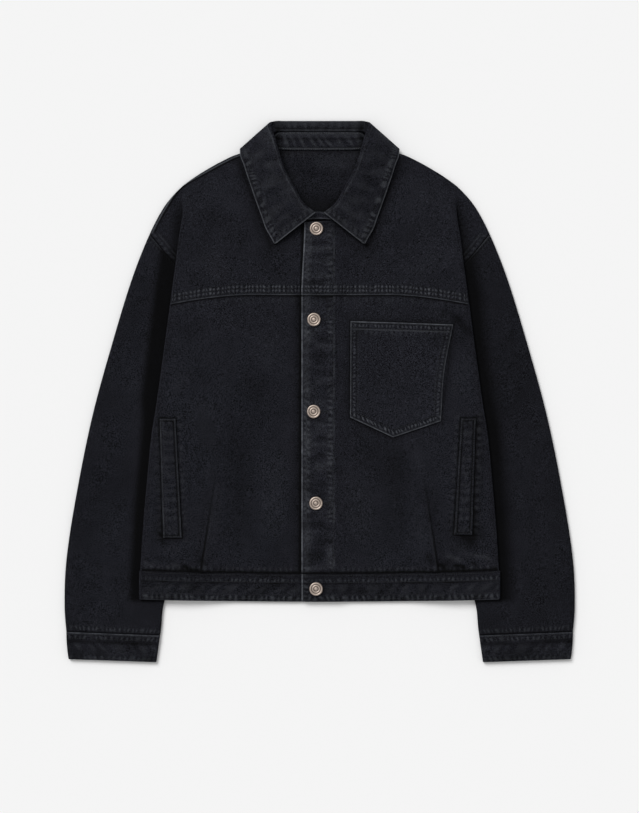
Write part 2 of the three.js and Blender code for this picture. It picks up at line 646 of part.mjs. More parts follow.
function collarLeaf() {
  return rollLine.map((roll, i) => {
    const [neck, seam, edge, over] = [neckLine[i], seamLine[i], edgeLine[i], clamp01(overLine[i].z)];
    const out = neck.clone().add(edge).multiplyScalar(-0.5).add(roll).setZ(0).normalize();
    const left = i < COLLAR_STEPS / 2 ? -1 : 1;
    const side = new THREE.Vector3(-out.y * left, out.x * left, 0);
    const turn = over * Math.PI;
    const first = new THREE.Vector3(0, 0, -Math.cos(turn)).addScaledVector(side, Math.sin(turn));
    const centre = roll.clone().addScaledVector(out, -LEAF_ROLL);
    const arc = [0, 1, 2, 3, 4].map((k) => {
      const angle = (k / 4) * Math.PI;
      const upright = first.clone().multiplyScalar(LEAF_ROLL * Math.cos(angle));
      return centre.clone().add(upright).addScaledVector(out, LEAF_ROLL * Math.sin(angle));
    });
    const apart = SEAM_GAP * (3 + 13 * Math.sin(Math.PI * over));
    const inside = seam.clone().addScaledVector(arc[0].clone().sub(seam).normalize(), apart);
    const points = [inside, ...arc];
    for (const t of spread(0, 1, 4)) {
      const p = arc[4].clone().lerp(edge, t);
      p.z += 1.2 * Math.sin(Math.PI * t) * Math.max(0, 1 - 2 * over);
      points.push(p);
    }
    return points.map((p) => ({ p: p.setZ(Math.max(p.z, DOUBLE / 2)), thick: DOUBLE }));
  });
}

function collarStand() {
  const ends = STAND_ENDS.map(({ neck, seam }) => [new THREE.Vector3(...neck), new THREE.Vector3(...seam)]);
  const under = ends.map((end) => end.map((p) => new THREE.Vector3(-p.x, p.y, p.z - STAND_END_DROP)));
  const lines = [...under.reverse(), ...neckLine.map((neck, i) => [neck, seamLine[i]]), ...ends];
  const section = ([neck, seam]) => [0, 0.5, 1].map((t) => ({ p: neck.clone().lerp(seam, t), thick: STAND }));
  return lines.map(section);
}

const BLACK_DENIM = { color: 0x1d1e21, roughness: 0.92, metalness: 0 };
const BUTTON_METAL = { color: 0x8d8078, roughness: 0.42, metalness: 0.9 };
const jacket = new THREE.Group();
function add(name, geometry, finish = BLACK_DENIM) {
  const mesh = new THREE.Mesh(geometry, new THREE.MeshStandardMaterial(finish));
  mesh.name = name;
  jacket.add(mesh);
}

const leftFront = lowerFront(1);
const rightFront = lowerFront(-1);
add("back", wall(back()));
add("front_left", wall(leftFront));
add("front_right", wall(rightFront));
add("yoke_left", wall(yoke(1)));
add("yoke_right", wall(yoke(-1)));
add("sleeve_left", sleeve(1));
add("sleeve_right", sleeve(-1));
add("cuff_left", cuff(1));
add("cuff_right", cuff(-1));
add("waistband", wall(waistband()));
add("collar_leaf", wall(collarLeaf()));
add("collar_stand", wall(collarStand()));
add("chest_pocket", patch(leftFront, POCKET, POCKET_THICK));
for (const row of WELTS) {
  const [name, front] = row.side > 0 ? ["left", leftFront] : ["right", rightFront];
  add(`side_pocket_welt_${name}`, patch(front, weltOutline(row), WELT_THICK));
}
for (const row of BUTTONS) {
  add(row.name, button(row), BUTTON_METAL);
}

export default jacket;
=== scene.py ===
"""A buttoned black denim jacket laid flat: its cloth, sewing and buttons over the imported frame.

Every size in a shape is in millimetres, in the frame's own directions: X across the jacket, Y from the hem
to the collar and Z up from the surface it lies on. A mesh is made metres as it is built.
"""

import bpy
import numpy as np
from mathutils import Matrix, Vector


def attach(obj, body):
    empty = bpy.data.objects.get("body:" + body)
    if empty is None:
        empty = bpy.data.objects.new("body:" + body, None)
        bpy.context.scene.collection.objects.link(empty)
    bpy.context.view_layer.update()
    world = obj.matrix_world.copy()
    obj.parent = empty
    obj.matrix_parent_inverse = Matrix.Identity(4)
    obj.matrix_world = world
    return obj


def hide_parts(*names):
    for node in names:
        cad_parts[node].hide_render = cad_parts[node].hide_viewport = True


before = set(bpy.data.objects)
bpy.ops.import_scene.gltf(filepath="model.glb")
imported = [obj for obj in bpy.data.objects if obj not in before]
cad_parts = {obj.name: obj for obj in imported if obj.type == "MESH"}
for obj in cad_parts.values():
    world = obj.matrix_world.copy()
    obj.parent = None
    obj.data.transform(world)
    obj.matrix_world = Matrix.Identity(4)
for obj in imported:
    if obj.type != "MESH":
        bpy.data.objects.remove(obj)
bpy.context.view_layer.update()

bl_info = {
    "name": "Flat denim jacket",
    "version": (1, 0, 0),
    "blender": (4, 5, 0),
    "location": "3D View > Sidebar > Jacket",
    "description": "Dresses a denim jacket laid flat in its cloth, sewing and buttons",
    "category": "Object",
}

MM = 0.001
LOWEST = (-np.inf, -np.inf, 0)
KEY_FROM = (-0.62, 0.80, 0.95)

# Cloth
CLOTH = 1.2
DOUBLE = 2.2
UNDER_BAND = 1.8
SEAM_GAP = 0.3
ARMHOLE_GAP = 0.9
FELLED = 0.8
LAPPED = 13.0

# Heights of the layers
SLEEVE_THICK = 6.0
ARMHOLE_THICK = 5.0
BODY_LIFT = SLEEVE_THICK + SEAM_GAP
RAMP = 90.0
RAMP_END = 8.0
LEAF_LIFT = 2.8
BAND_RISE = 2.2
UNDER_DIP = 0.6

# Body
YOKE_SEAM = 134.9
YOKE_DROP = 13.6
YOKE_BEND = 95.0
YOKE_SIDE = 209.0
WAIST_SEAM = -255.2
WAIST_RISE = 5.0
WAISTBAND_RUN = 38.9
HEM = -294.1
HEM_RISE = 3.6
FRONT_EDGE = -25.2
FRONT_EDGE_TOP = -21.2
BAND_STITCH = 19.0
UNDER_EDGE = -15.0
UNDER_END = 24.0
NECK_FRONT = 238.0
TUCK = 1.8
TUCK_SWELL = 24.0
TUCK_DROP = 3.0
TUCK_HEM = 166.0
TUCK_LEAN = 0.153
TUCK_LENGTH = 150.0

# The shoulder fold
FOLD_START = 285.0
FOLD_FULL = 225.0
ROLL = 1.9
CREASE = 1.25
EDGE_OUT = ROLL + CLOTH / 2
FOLD_SLOPE = 58.0
SHOULDER_POINT = 220.0
SHOULDER_TOP = 336.6

# Outlines, as rows of a height y and a distance x from the middle
OUTER_EDGE = [
    (-352, 353.1), (-300, 357.1), (-232, 354.1), (-131, 338.1), (-30, 317.1), (70, 289.6), (155, 263.6), (213.5, 241),
    (256, 219.2), (281, 198.8), (297.5, 178.4), (314.3, 151.6), (326, 129.5), (331, 117.5), (334, 105.5), (337, 88),
]
INNER_EDGE = [
    (-379, 228.5), (-332, 222), (-299, 218.4), (-200, 190), (-100, 166), (0, 143), (70, 131), (105, 133),
    (130, 140), (153, 150),
]
SIDE_FOLD = [
    (-252, 250.6), (-190, 246.8), (-131, 242), (-59.5, 235.2), (-13.3, 228), (70.7, 216.3), (122.5, 209.3),
    (180, 201.2), (216.3, 196.7), (261, 188.3), (285, 184.8),
]
ARMHOLE = [(133, 122), (148, 160), (177.5, 201.5), (220, 238.1)]
CREASE_LINE = [(125, 122), (133, 122), (190, 163), (235, 191)]
NECKLINE = [(238, 12), (242, 32), (250, 45), (265, 56), (290, 66), (320, 71), (337, 72.5)]
SIDE_SEAM_TOP = 119.85
SIDE_SEAM_HEM = 232.0

# The chest pocket: its top and bottom corners, its point, and the bend in its outer side
POCKET_IN_TOP, POCKET_OUT_TOP = (43.3, 98.2), (186.0, 93.2)
POCKET_IN_FOOT, POCKET_OUT_FOOT = (42.6, -36.1), (169.0, -41.2)
POCKET_POINT = (102.6, -64.0)
POCKET_BEND = 3.8
POCKET_THICK = 1.5
POCKET_HEM = 11.0
WELT_THICK = 1.6
WELTS = [
    {"side": -1, "top": -38.3, "foot": -203.8, "in_top": 201.5, "out_top": 223, "in_foot": 192.6, "out_foot": 218},
    {"side": 1, "top": -37.8, "foot": -199.6, "in_top": 197.5, "out_top": 217.5, "in_foot": 187.9, "out_foot": 212.5},
]

# The part of the collar's leaf that lies over a yoke, clockwise, and the rows of points a yoke needs at its seam
LEAF_CORNERS = [(6.0, 248.0), (60.0, 338.0), (116.5, 335.0), (68.0, 204.6)]
YOKE_ROWS = (0.4, 0.9, 1.5, 2.2, 3.0, 3.8, 4.9, 5.9, 6.9, 7.8, 8.7, 9.6, 10.4, 11.4, 12.2, 13.2, 14.3)

# The wearer's sides, the distance from the middle at which a row's height is read, a distance past every edge,
# and the steps from a front's free edge over its band
SIDES = {1: "left", -1: "right"}
ROW_AT = 200.0
FAR = 99.0
BAND_COUNTS = [1, 1, 1, 22, 3]
BUTTONS = [(-4.5, 227.6), (-8.0, 100.5), (-8.4, -28.0), (-5.2, -156.2), (-5.0, -275.8)]

# Sleeves and cuffs: the steps across each, its length and its width, and the edge points of its ends
SLEEVE_SECTION, SLEEVE_RUN, SLEEVE_WIDE = 52, 560.0, 150.0
CUFF_SECTION, CUFF_RUN, CUFF_WIDE = 60, 38.0, 135.0
CUFF_THICK = 6.8
CUFF_TOP_OUTER, CUFF_TOP_INNER = -336.0, -341.0
CUFF_FOOT_OUTER, CUFF_FOOT_INNER = -374.4, -378.7
CUFF_FOOT_X = 351.5
ARMPIT = (148.0, 160.0)
SHOULDER = (220.0, 238.1)
SLEEVE_SLIM = 0.28
SLEEVE_FIRST = (1 / 16) ** 1.15
TUCKED_IN, TUCKED_THICK = (-2.4, 1.8), 2.6

# The collar's stations from the front end round to the middle of the back: where the stand meets the body,
# where it meets the leaf, the extreme of the leaf's fold, the leaf's outer edge, and how far the leaf is turned
# from lying over the stand, 0, to lying under it, 1.
COLLAR_NECK = [
    (17, 240.4, 6.6), (41, 250.4, 6.0), (56.5, 276.4, 5.6), (65, 303.4, 6.2), (68.4, 326, 7.8),
    (69.6, 334.6, 7.6), (68.6, 340.4, 5.8), (63.6, 339.6, 4.5), (48, 338.2, 3.9), (22, 337.8, 3.9),
]
COLLAR_SEAM = [
    (11, 246.8, 8.6), (28.5, 257, 9.4), (44, 282, 10), (55, 307, 11), (61, 331, 11.6),
    (64.2, 343, 10.2), (63.4, 354.6, 8.0), (59.6, 361, 6.0), (48, 362.4, 4.6), (22, 362.6, 4.4),
]
COLLAR_ROLL = [
    (6.2, 249, 11.6), (21, 260.6, 12.6), (36.4, 286, 13.6), (49, 309, 14.6), (57.4, 334, 15),
    (63, 354, 13.8), (68.4, 374.6, 7.6), (63.4, 377.2, 3.4), (48, 377.6, 2.8), (22, 377.6, 2.8),
]
COLLAR_EDGE = [
    (63.4, 204.6, 8.8), (73.4, 236.5, 7.8), (84.6, 268, 7.6), (95.2, 299, 8.8), (104, 324, 10.6),
    (109.2, 333.2, 10.6), (111, 338.2, 6.4), (108, 335.4, 1.3), (66, 323.4, 1.2), (30, 321.6, 1.2),
]
COLLAR_OVER = [0, 0, 0, 0, 0.04, 0.2, 0.5, 0.85, 1, 1]
STAND_ENDS = [((0, 241, 6.1), (0, 251.6, 6.9)), ((-19, 241, 6.0), (-19, 250.6, 6.4))]
STAND_END_DROP = 2.4
STAND = 1.8
# The leaf: the radius of its roll, the swell of its edge, the radius of its tips, the places under its roll, in
# the roll and on its flat part, and where the flat part starts
LEAF_ROLL = 1.62
LEAF_SWELL = 5.2
LEAF_ROUND = 5.0
LEAF_UNDER, LEAF_TURN, LEAF_FLAT = 6, 11, 46
LEAF_FROM = LEAF_UNDER + LEAF_TURN


# ---- numbers along a line or over a surface


def lerp(a, b, t):
    """A straight blend: a, and t of the way from it to b."""
    return a + (b - a) * t


def held(value):
    """The value held between 0 and 1."""
    return np.clip(value, 0, 1)


def ease(t):
    """A smooth step from 0 to 1: 3t² - 2t³ of t held between 0 and 1."""
    t = held(t)
    return t * t * (3 - 2 * t)


def bell(distance, width):
    """A soft hump: e to the power of minus the square of distance over width."""
    return np.exp(-((distance / width) ** 2))


def through(rows):
    """A smooth cubic through rows of a place and a value, each slope that of the line between its neighbours."""
    at, value = np.array(rows, float).T
    ahead, behind = np.minimum(np.arange(len(at)) + 1, len(at) - 1), np.maximum(np.arange(len(at)) - 1, 0)
    slope = (value[ahead] - value[behind]) / (at[ahead] - at[behind])

    def curve(place):
        p = np.clip(place, at[0], at[-1])
        i = np.clip(np.searchsorted(at, p) - 1, 0, len(at) - 2)
        span = at[i + 1] - at[i]
        t = (p - at[i]) / span
        t2, t3 = t * t, t * t * t
        return (
            value[i] * (2 * t3 - 3 * t2 + 1)
            + slope[i] * span * (t3 - 2 * t2 + t)
            + value[i + 1] * (3 * t2 - 2 * t3)
            + slope[i + 1] * span * (t3 - t2)
        )

    return curve


def uneven(x, y, across, along, seed):
    """Smooth unevenness from -1 to 1: values on a fixed grid of cells across by along, blended smoothly."""
    table = np.random.default_rng(seed).uniform(-1, 1, (61, 61))
    u, v = np.broadcast_arrays(np.asarray(x, float) / across, np.asarray(y, float) / along)
    i, j = np.floor(u).astype(int), np.floor(v).astype(int)
    s, t = ease(u - i), ease(v - j)
    corner = lambda a, b: table[(i + a) % 61, (j + b) % 61]
    return lerp(lerp(corner(0, 0), corner(1, 0), s), lerp(corner(0, 1), corner(1, 1), s), t)


outer_edge = through(OUTER_EDGE)
inner_edge = through(INNER_EDGE)
side_fold = through(SIDE_FOLD)
armhole = through(ARMHOLE)
crease_line = through(CREASE_LINE)
neckline = through(NECKLINE)
armhole_height = through([(x, y) for y, x in ARMHOLE])


def yoke_seam(x):
    """The yoke seam's height: level in the middle, and past the bend it drops as a power of the distance."""
    past = np.maximum(0, (np.abs(x) - YOKE_BEND) / (YOKE_SIDE - YOKE_BEND))
    return YOKE_SEAM - YOKE_DROP * past**1.7


def waist_seam(x):
    """The height of the waistband's seam, a parabola that rises towards the sides."""
    return WAIST_SEAM + WAIST_RISE * (x / 250) ** 2


def hem_line(x):
    """The hem's height, a parabola that rises towards the sides."""
    return HEM + HEM_RISE * (x / 250) ** 2


def side_seam(y):
    """The side seam's distance from the middle, straight from the yoke's seam to the waist."""
    return lerp(SIDE_SEAM_TOP, SIDE_SEAM_HEM, (YOKE_SEAM - y) / (YOKE_SEAM - WAIST_SEAM))


def slant(y):
    """How much longer a step along the outer edge is than its rise."""
    return np.hypot(1, (outer_edge(y + 2) - outer_edge(y - 2)) / 4)


def fold_angle(y):
    """How far the shoulder fold has turned at a height."""
    return np.pi * ease((FOLD_START - y) / (FOLD_START - FOLD_FULL))


def turn_drop(angle):
    """How far the cloth past a fold of that angle drops."""
    a = np.maximum(angle, 0.01)
    return np.where(angle < 0.01, 0, np.pi * (ROLL + CREASE) * (1 - np.cos(a)) / a)


def leaf_lift(x, y):
    """How far the collar leaf under it lifts the upper back."""
    return LEAF_LIFT * ease((y - 298) / 18) * ease((132 - np.abs(x)) / 24)


def over_sleeve(x, y):
    """From 0 beside the sleeve under the body to 1 over it."""
    return ease((np.abs(x) - inner_edge(y) + RAMP_END + RAMP) / RAMP)


def back_floor(x, y):
    """Height of the back's underside."""
    return BODY_LIFT * over_sleeve(x, y) * ease((141 - y) / 30) + leaf_lift(x, y)


def tuck_line(y):
    """The tuck's distance from the middle, which leans in with height."""
    return TUCK_HEM - TUCK_LEAN * (y - WAIST_SEAM)


def tuck(x, y):
    """The tuck over the waistband: a hump that rises towards its line and drops past it."""
    off = tuck_line(y) - np.abs(x)
    fade = ease(1 - (y - WAIST_SEAM) / TUCK_LENGTH)
    return TUCK * fade * np.where(off > 0, bell(off, TUCK_SWELL), ease(1 + off / TUCK_DROP))


def front_top(x, y):
    """Height of a front's outer face without its bands: the sleeve and the shoulder's fold lift it."""
    sleeve = over_sleeve(x, y) * ease((200 - y) / 70)
    near = ease((np.abs(x) - side_fold(y) + EDGE_OUT) / FOLD_SLOPE + 1)
    fold = turn_drop(fold_angle(y)) / BODY_LIFT * near
    return ARMHOLE_THICK + BODY_LIFT * (1 - (1 - sleeve) * (1 - fold)) + leaf_lift(x, y) + tuck(x, y)


def band_rise(side, x):
    """How far the lapping band stands over the front, or how far the band under it dips."""
    if side > 0:
        return BAND_RISE * ease((BAND_STITCH + 24 - x) / 22)
    return -UNDER_DIP * ease((UNDER_END + 10 - x) / 6)


def band_thick(side, x):
    """The thickness of the doubled band, thinning to single cloth past its inner stitches."""
    if side > 0:
        return lerp(CLOTH, DOUBLE, ease((BAND_STITCH + 2 - x) / 2.5))
    return lerp(CLOTH, UNDER_BAND, ease((UNDER_END - x) / 4))


def front_edge(side, y):
    """Where a front's free edge lies: past the middle, and steady on the side that lies under."""
    if side > 0:
        return lerp(FRONT_EDGE, FRONT_EDGE_TOP, ease((y - YOKE_SEAM) / 100))
    return np.full_like(y, UNDER_EDGE)


# ---- the soft creases, placed one by one


# A crease: its two ends, how wide and how high it is, and how far it bows to its left on the way.
FRONT_CREASES = {
    1: [
        ((118, -240), (106, -60), 16, -0.6, 6), ((86, -52), (150, -186), 16, -0.75, 0),
        ((122, -60), (152, -142), 9, 0.6, 0), ((158, -232), (118, -96), 11, 0.7, 5),
        ((172, -247), (196, -226), 3.2, -1.0, 2), ((166, -236), (192, -249), 2.6, -0.9, -3),
        ((176, -214), (216, -238), 6, 0.8, 4), ((60, -236), (40, -90), 22, 0.6, -8),
        ((76, -150), (64, 20), 24, -0.6, 6), ((186, -20), (216, 60), 12, 0.6, 4), ((180, 110), (206, 60), 9, -0.7, 4),
        ((148, 118), (196, 84), 8, 0.5, 3), ((128, -84), (168, -214), 14, -0.4, 5),
        ((200, -212), (238, -196), 9, -0.6, 3),
    ],
    -1: [
        ((116, -240), (113, -16), 19, -0.75, 3), ((160, -230), (140, -112), 10, 0.6, 4),
        ((150, -246), (176, -236), 3.0, -1.0, 2), ((176, -248), (206, -240), 4.0, -0.8, -2),
        ((190, -222), (226, -226), 6, 0.7, 3), ((64, -230), (52, -60), 20, 0.7, -6), ((70, 40), (96, -40), 22, -0.6, 6),
        ((150, 100), (200, 60), 12, -0.7, 5), ((176, 40), (206, -20), 10, 0.6, 4),
        ((142, -100), (168, 10), 16, 0.5, -6), ((60, 90), (76, 10), 14, 0.5, 4), ((204, -226), (236, -205), 8, -0.5, 3),
    ],
}
# Short tight wrinkles where the cloth is caught, not shaped but painted: seen as dark strokes of painted shade, and
# with a negative height as pale strokes of painted highlight
WRINKLES = {
    1: [
        ((164, -238), (179, -251), 2.3, 1.0, 0), ((180, -243), (210, -250), 2.8, 1.0, 3),
        ((178, -212), (232, -224), 7.0, 0.35, 3), ((209, -236), (224, -247), 2.3, 0.8, 0),
        ((237, -243), (251, -251), 2.2, 0.7, 0), ((171, -229), (203, -241), 3.0, -0.9, 3),
        ((204, -228), (246, -238), 3.6, -0.7, 3), ((190, -200), (223, -214), 5, 0.5, 0),
        ((150, -222), (160, -248), 5, 0.5, 0), ((184, 112), (214, 70), 6, 0.45, 3), ((160, 118), (200, 96), 5, 0.35, 2),
    ],
    -1: [
        ((186, -247), (166, -251), 2.5, 1.0, 0), ((200, -238), (180, -248), 2.6, 1.0, 0),
        ((210, -243), (186, -238), 3.0, -0.8, 2), ((250, -236), (226, -240), 3.2, -0.6, 2),
        ((246, -231), (230, -244), 2.3, 0.6, 0), ((234, -231), (213, -233), 2.1, 0.4, 0),
        ((228, -193), (218, -205), 2.0, 0.7, 0), ((188, -195), (197, -206), 2.0, 0.4, 0),
    ],
}
YOKE_CREASES = {
    1: [
        ((90, 190), (176, 250), 22, -0.5, 8), ((120, 150), (186, 196), 14, 0.5, 5),
        ((150, 140), (196, 168), 8, -0.6, 4), ((112, 232), (150, 300), 16, 0.5, -5),
        ((48, 150), (66, 214), 14, -0.5, 5),
    ],
    -1: [
        ((88, 196), (170, 262), 20, -0.6, 8), ((118, 146), (184, 200), 13, 0.5, 5),
        ((148, 138), (192, 160), 8, -0.6, 4), ((104, 240), (144, 296), 15, 0.4, -5),
        ((52, 146), (78, 206), 16, -0.5, 5),
    ],
}
# The same on a sleeve: ends as a share of its length from the armhole and a share across from its inner side.
SLEEVE_CREASES = {
    1: [
        ((0.16, 0.86), (0.33, 0.50), 0.050, -0.8), ((0.24, 0.95), (0.44, 0.62), 0.045, 0.5),
        ((0.40, 0.90), (0.56, 0.64), 0.050, -0.7), ((0.52, 0.96), (0.66, 0.60), 0.040, 0.45),
        ((0.60, 0.55), (0.78, 0.75), 0.045, -0.6), ((0.74, 0.92), (0.92, 0.80), 0.050, 0.5),
        ((0.80, 0.40), (0.97, 0.62), 0.060, -0.8), ((0.90, 0.20), (0.99, 0.30), 0.045, -0.7),
    ],
    -1: [
        ((0.14, 0.80), (0.30, 0.48), 0.050, -0.8), ((0.22, 0.94), (0.40, 0.66), 0.045, 0.5),
        ((0.42, 0.94), (0.58, 0.60), 0.050, -0.7), ((0.50, 0.70), (0.70, 0.88), 0.040, 0.45),
        ((0.62, 0.50), (0.80, 0.66), 0.050, -0.6), ((0.76, 0.94), (0.90, 0.74), 0.045, 0.5),
        ((0.82, 0.34), (0.98, 0.56), 0.060, -0.8), ((0.91, 0.70), (0.99, 0.78), 0.040, -0.6),
    ],
}


def creases(x, y, rows):
    """Height of soft creases: for each, a bell across its own bowed line times a hump along it."""
    total = np.zeros(np.broadcast(x, y).shape)
    for (ax, ay), (bx, by), width, height, bow in rows:
        dx, dy = bx - ax, by - ay
        length = np.hypot(dx, dy)
        share = ((x - ax) * dx + (y - ay) * dy) / length**2
        aside = ((y - ay) * dx - (x - ax) * dy) / length - bow * np.sin(np.pi * np.clip(share, 0, 1))
        ends = ease(share / 0.35) * ease((1 - share) / 0.35)
        total += height * bell(aside, width) * ends
    return total


def puckers(along, across, reach, pitch, seed):
    """Light tight patches beside a seam, from 0 to 1: short ridges across it at an uneven pitch, in a band as
    wide as reach on both sides of the line across = 0."""
    ridge = uneven(along, across, pitch, reach * 2.2, seed) + 0.35 * uneven(along, across, pitch / 2.3, reach, seed + 1)
    return np.clip(ridge, 0, 1) ** 1.2 * bell(across, reach)


def ropes(*seams):
    """Where each point lies beside the nearest of several seams: how many ridges along it, how many reaches across
    it, and how strongly the cloth is roped there. Each seam is (along, across, pitch, reach, strength)."""
    shape = np.broadcast_shapes(*(np.shape(v) for seam in seams for v in seam))
    best, most = np.zeros(shape + (3,)), np.zeros(shape)
    for along, across, pitch, reach, strength in seams:
        weight = np.broadcast_to(strength * bell(across, reach), shape)
        parts = (along / pitch, np.clip(across / reach, -3, 3), strength)
        here = np.stack([np.broadcast_to(v, shape) for v in parts], -1)
        best = np.where((weight > most)[..., None], here, best)
        most = np.maximum(most, weight)
    return best


def beyond(x, y, corners):
    """How far a point lies outside a polygon whose corners run clockwise: the greatest distance past its sides."""
    ends = zip(corners, corners[1:] + corners[:1])
    past = [((x - a) * (d - b) - (y - b) * (c - a)) / -np.hypot(c - a, d - b) for (a, b), (c, d) in ends]
    return np.max(past, axis=0)


# ---- cloth as closed walls


def columns(anchors, counts):
    """Places across each row: counts[k] even steps from anchors[k] to anchors[k + 1]."""
    parts = [anchors[0][:, None]]
    for a, b, n in zip(anchors, anchors[1:], counts):
        parts.append(lerp(a[:, None], b[:, None], np.arange(1, n + 1) / n))
    return np.concatenate(parts, axis=1)


def finer_ends(low, high, step, at_low=(), at_high=()):
    """Even steps from low to high, with more places at the given distances from either end."""
    even = np.linspace(low, high, max(2, int(round((high - low) / step)) + 1))
    more = [low + np.array(at_low, float), high - np.array(at_high, float)]
    return np.unique(np.concatenate([even, *more]).round(4))


class Section:
    """A section of cloth across the jacket, for all rows at once: it starts flat, can turn over, and keeps the
    distance x from the middle, the height z and the thickness of each of its points."""

    def __init__(self, x, z, thick):
        self.x, self.z, self.thick = [x], [z], [thick]

    def end(self):
        """The last place and height of every row."""
        return self.x[-1][:, -1:], self.z[-1][:, -1:]

    def add(self, x, z):
        """More places and heights of single cloth."""
        self.x.append(x)
        self.z.append(z)
        self.thick.append(np.full(x.shape, CLOTH))

    def turn(self, length, start, angle, steps):
        """An arc of a given length that turns downwards from the heading start by angle."""
        x, z = self.end()
        length, start, angle = (np.broadcast_to(v, x.shape[0])[:, None] for v in (length, start, angle))
        safe = np.where(np.abs(angle) < 1e-6, 1e-6, angle)
        chord = 2 * length * np.sin(safe / steps / 2) / safe
        heading = start + angle * (np.arange(steps) + 0.5) / steps
        self.add(x + np.cumsum(chord * np.cos(heading), axis=1), z - np.cumsum(chord * np.sin(heading), axis=1))

    def line(self, to_x, to_z, steps):
        """Straight on to a place and height."""
        x, z = self.end()
        t = np.arange(1, steps + 1) / steps
        self.add(lerp(x, np.reshape(to_x, (-1, 1)), t), lerp(z, np.reshape(to_z, (-1, 1)), t))

    def rim(self, end, rim_x, rim_z, shoulder):
        """Out to the end: a quarter turn to the rim's place and height at the shoulder, straight on elsewhere."""
        x, z = self.end()
        share, on_shoulder = np.arange(1, 7) / 6, shoulder[:, None]
        quarter = share * np.pi / 2
        out = np.where(on_shoulder, lerp(x, rim_x[:, None], np.sin(quarter)), lerp(x, end[:, None], share))
        self.add(out, np.where(on_shoulder, lerp(rim_z, z, np.cos(quarter)), z))

    def all(self):
        """Every row's places, heights and thicknesses."""
        return (np.concatenate(v, axis=1) for v in (self.x, self.z, self.thick))


def normals(middle):
    """The unit cross product of a grid's central differences along its two directions."""
    out = np.cross(np.gradient(middle, axis=1), np.gradient(middle, axis=0))
    return out / np.maximum(np.linalg.norm(out, axis=2, keepdims=True), 1e-9)


def facing_up(face):
    """A grid's normals, turned to point up."""
    up = normals(face)
    return up * np.sign(up[..., 2:])


def rounded(thick, edge, radius=0.9):
    """The thickness near a free edge: a quarter circle of the distance edge from it."""
    t = np.clip(edge / radius, 0, 1)
    return thick * np.maximum(0.3, np.sqrt(np.clip(1 - (1 - t) ** 2, 0, 1)))


def grid_faces(rows, count, ring):
    """Four-sided faces of a closed wall between two grids of rows by count points, the second after the first."""
    size = rows * count
    wide = count if ring else count - 1
    j = np.arange(wide)
    n = (j + 1) % count
    a = (np.arange(rows - 1)[:, None] * count + j).ravel()
    b = (np.arange(rows - 1)[:, None] * count + n).ravel()
    faces = [
        np.stack([a, b, b + count, a + count], 1),
        np.stack([size + a, size + a + count, size + b + count, size + b], 1),
    ]
    top = size - count
    faces.append(np.stack([j, size + j, size + n, n], 1))
    faces.append(np.stack([top + j, top + n, size + top + n, size + top + j], 1))
    if not ring:
        e = np.arange(rows - 1) * count
        f = e + count - 1
        faces.append(np.stack([e, e + count, size + e + count, size + e], 1))
        faces.append(np.stack([f, size + f, size + f + count, f + count], 1))
    return np.concatenate(faces)


def volume(points, faces):
    """The volume inside four-sided faces: a sixth of the sum of their corners' triple products."""
    a, b, c, d = (points[faces[:, k]] for k in range(4))
    return float((a * np.cross(b, c)).sum() + (a * np.cross(c, d)).sum()) / 6


def mesh_of(name, points, faces, cloth=None, marks=None):
    """A smooth mesh in metres from points in millimetres and four-sided faces, turned to face out. cloth is each
    point's place on the cut cloth, and marks are named values from 0 to 1."""
    if volume(points, faces) < 0:
        faces = faces[:, ::-1]
    points = np.maximum(points, LOWEST)
    mesh = bpy.data.meshes.new(name)
    mesh.vertices.add(len(points))
    mesh.vertices.foreach_set("co", (points * MM).astype(np.float32).ravel())
    mesh.loops.add(faces.size)
    mesh.loops.foreach_set("vertex_index", faces.astype(np.int32).ravel())
    mesh.polygons.add(len(faces))
    mesh.polygons.foreach_set("loop_start", np.arange(0, faces.size, 4, dtype=np.int32))
    mesh.update(calc_edges=True)
    mesh.polygons.foreach_set("use_smooth", np.ones(len(faces), bool))
    if cloth is not None:
        layer = mesh.uv_layers.new(name="cloth")
        layer.data.foreach_set("uv", (cloth[faces.ravel()] * MM).astype(np.float32).ravel())
    for key, value in (marks or {}).items():
        kind, field = ("FLOAT_VECTOR", "vector") if value.shape[-1] == 3 else ("FLOAT", "value")
        mesh.attributes.new(key, kind, "POINT").data.foreach_set(field, value.astype(np.float32).ravel())
    mesh.validate()
    thing = bpy.data.objects.new(name, mesh)
    bpy.context.scene.collection.objects.link(thing)
    return thing


def shell(name, upper, lower, cloth, wear_and_highlight, dark, rope, ring=False):
    """A closed cloth piece between two faces given as grids of points. Its pale mark (worn edges and painted
    highlights) and its dark mark (mostly painted shade, over some darker tone) are from 0 to 1, and rope is what ropes
    gives."""
    rows, count = upper.shape[:2]
    flat = lambda grid: np.concatenate([grid.reshape(rows * count, -1)] * 2)
    points = np.concatenate([upper.reshape(-1, 3), lower.reshape(-1, 3)])
    marks = {"wear_and_highlight": flat(held(wear_and_highlight)), "dark": flat(held(dark)), "rope": flat(rope)}
    return mesh_of(name, points, grid_faces(rows, count, ring), flat(cloth), marks)


def wall(name, middle, thick, cloth, wear_and_highlight, dark, rope):
    """A closed wall: the middle surface moved half its thickness both ways along its normal."""
    half = normals(middle) * (thick / 2)[..., None]
    return shell(name, middle + half, middle - half, cloth, wear_and_highlight, dark, rope)


def dress(piece, *nodes, flat=None, area=None, rests_on=(), with_pieces=(), held="laid"):
    """The piece takes its cloth, rides on the jacket and stands for its CAD nodes."""
    piece.data.materials.append(washed_denim())
    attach(piece, "root")
    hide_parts(*nodes)
    return piece


def lay(made, node, **sheet):
    """Dress a piece that was made with its rows of stitches, which go with it."""
    piece, rows = made
    dress(piece, node, with_pieces=[rows.piece(f"{node}_stitches")], **sheet)


# ---- thread


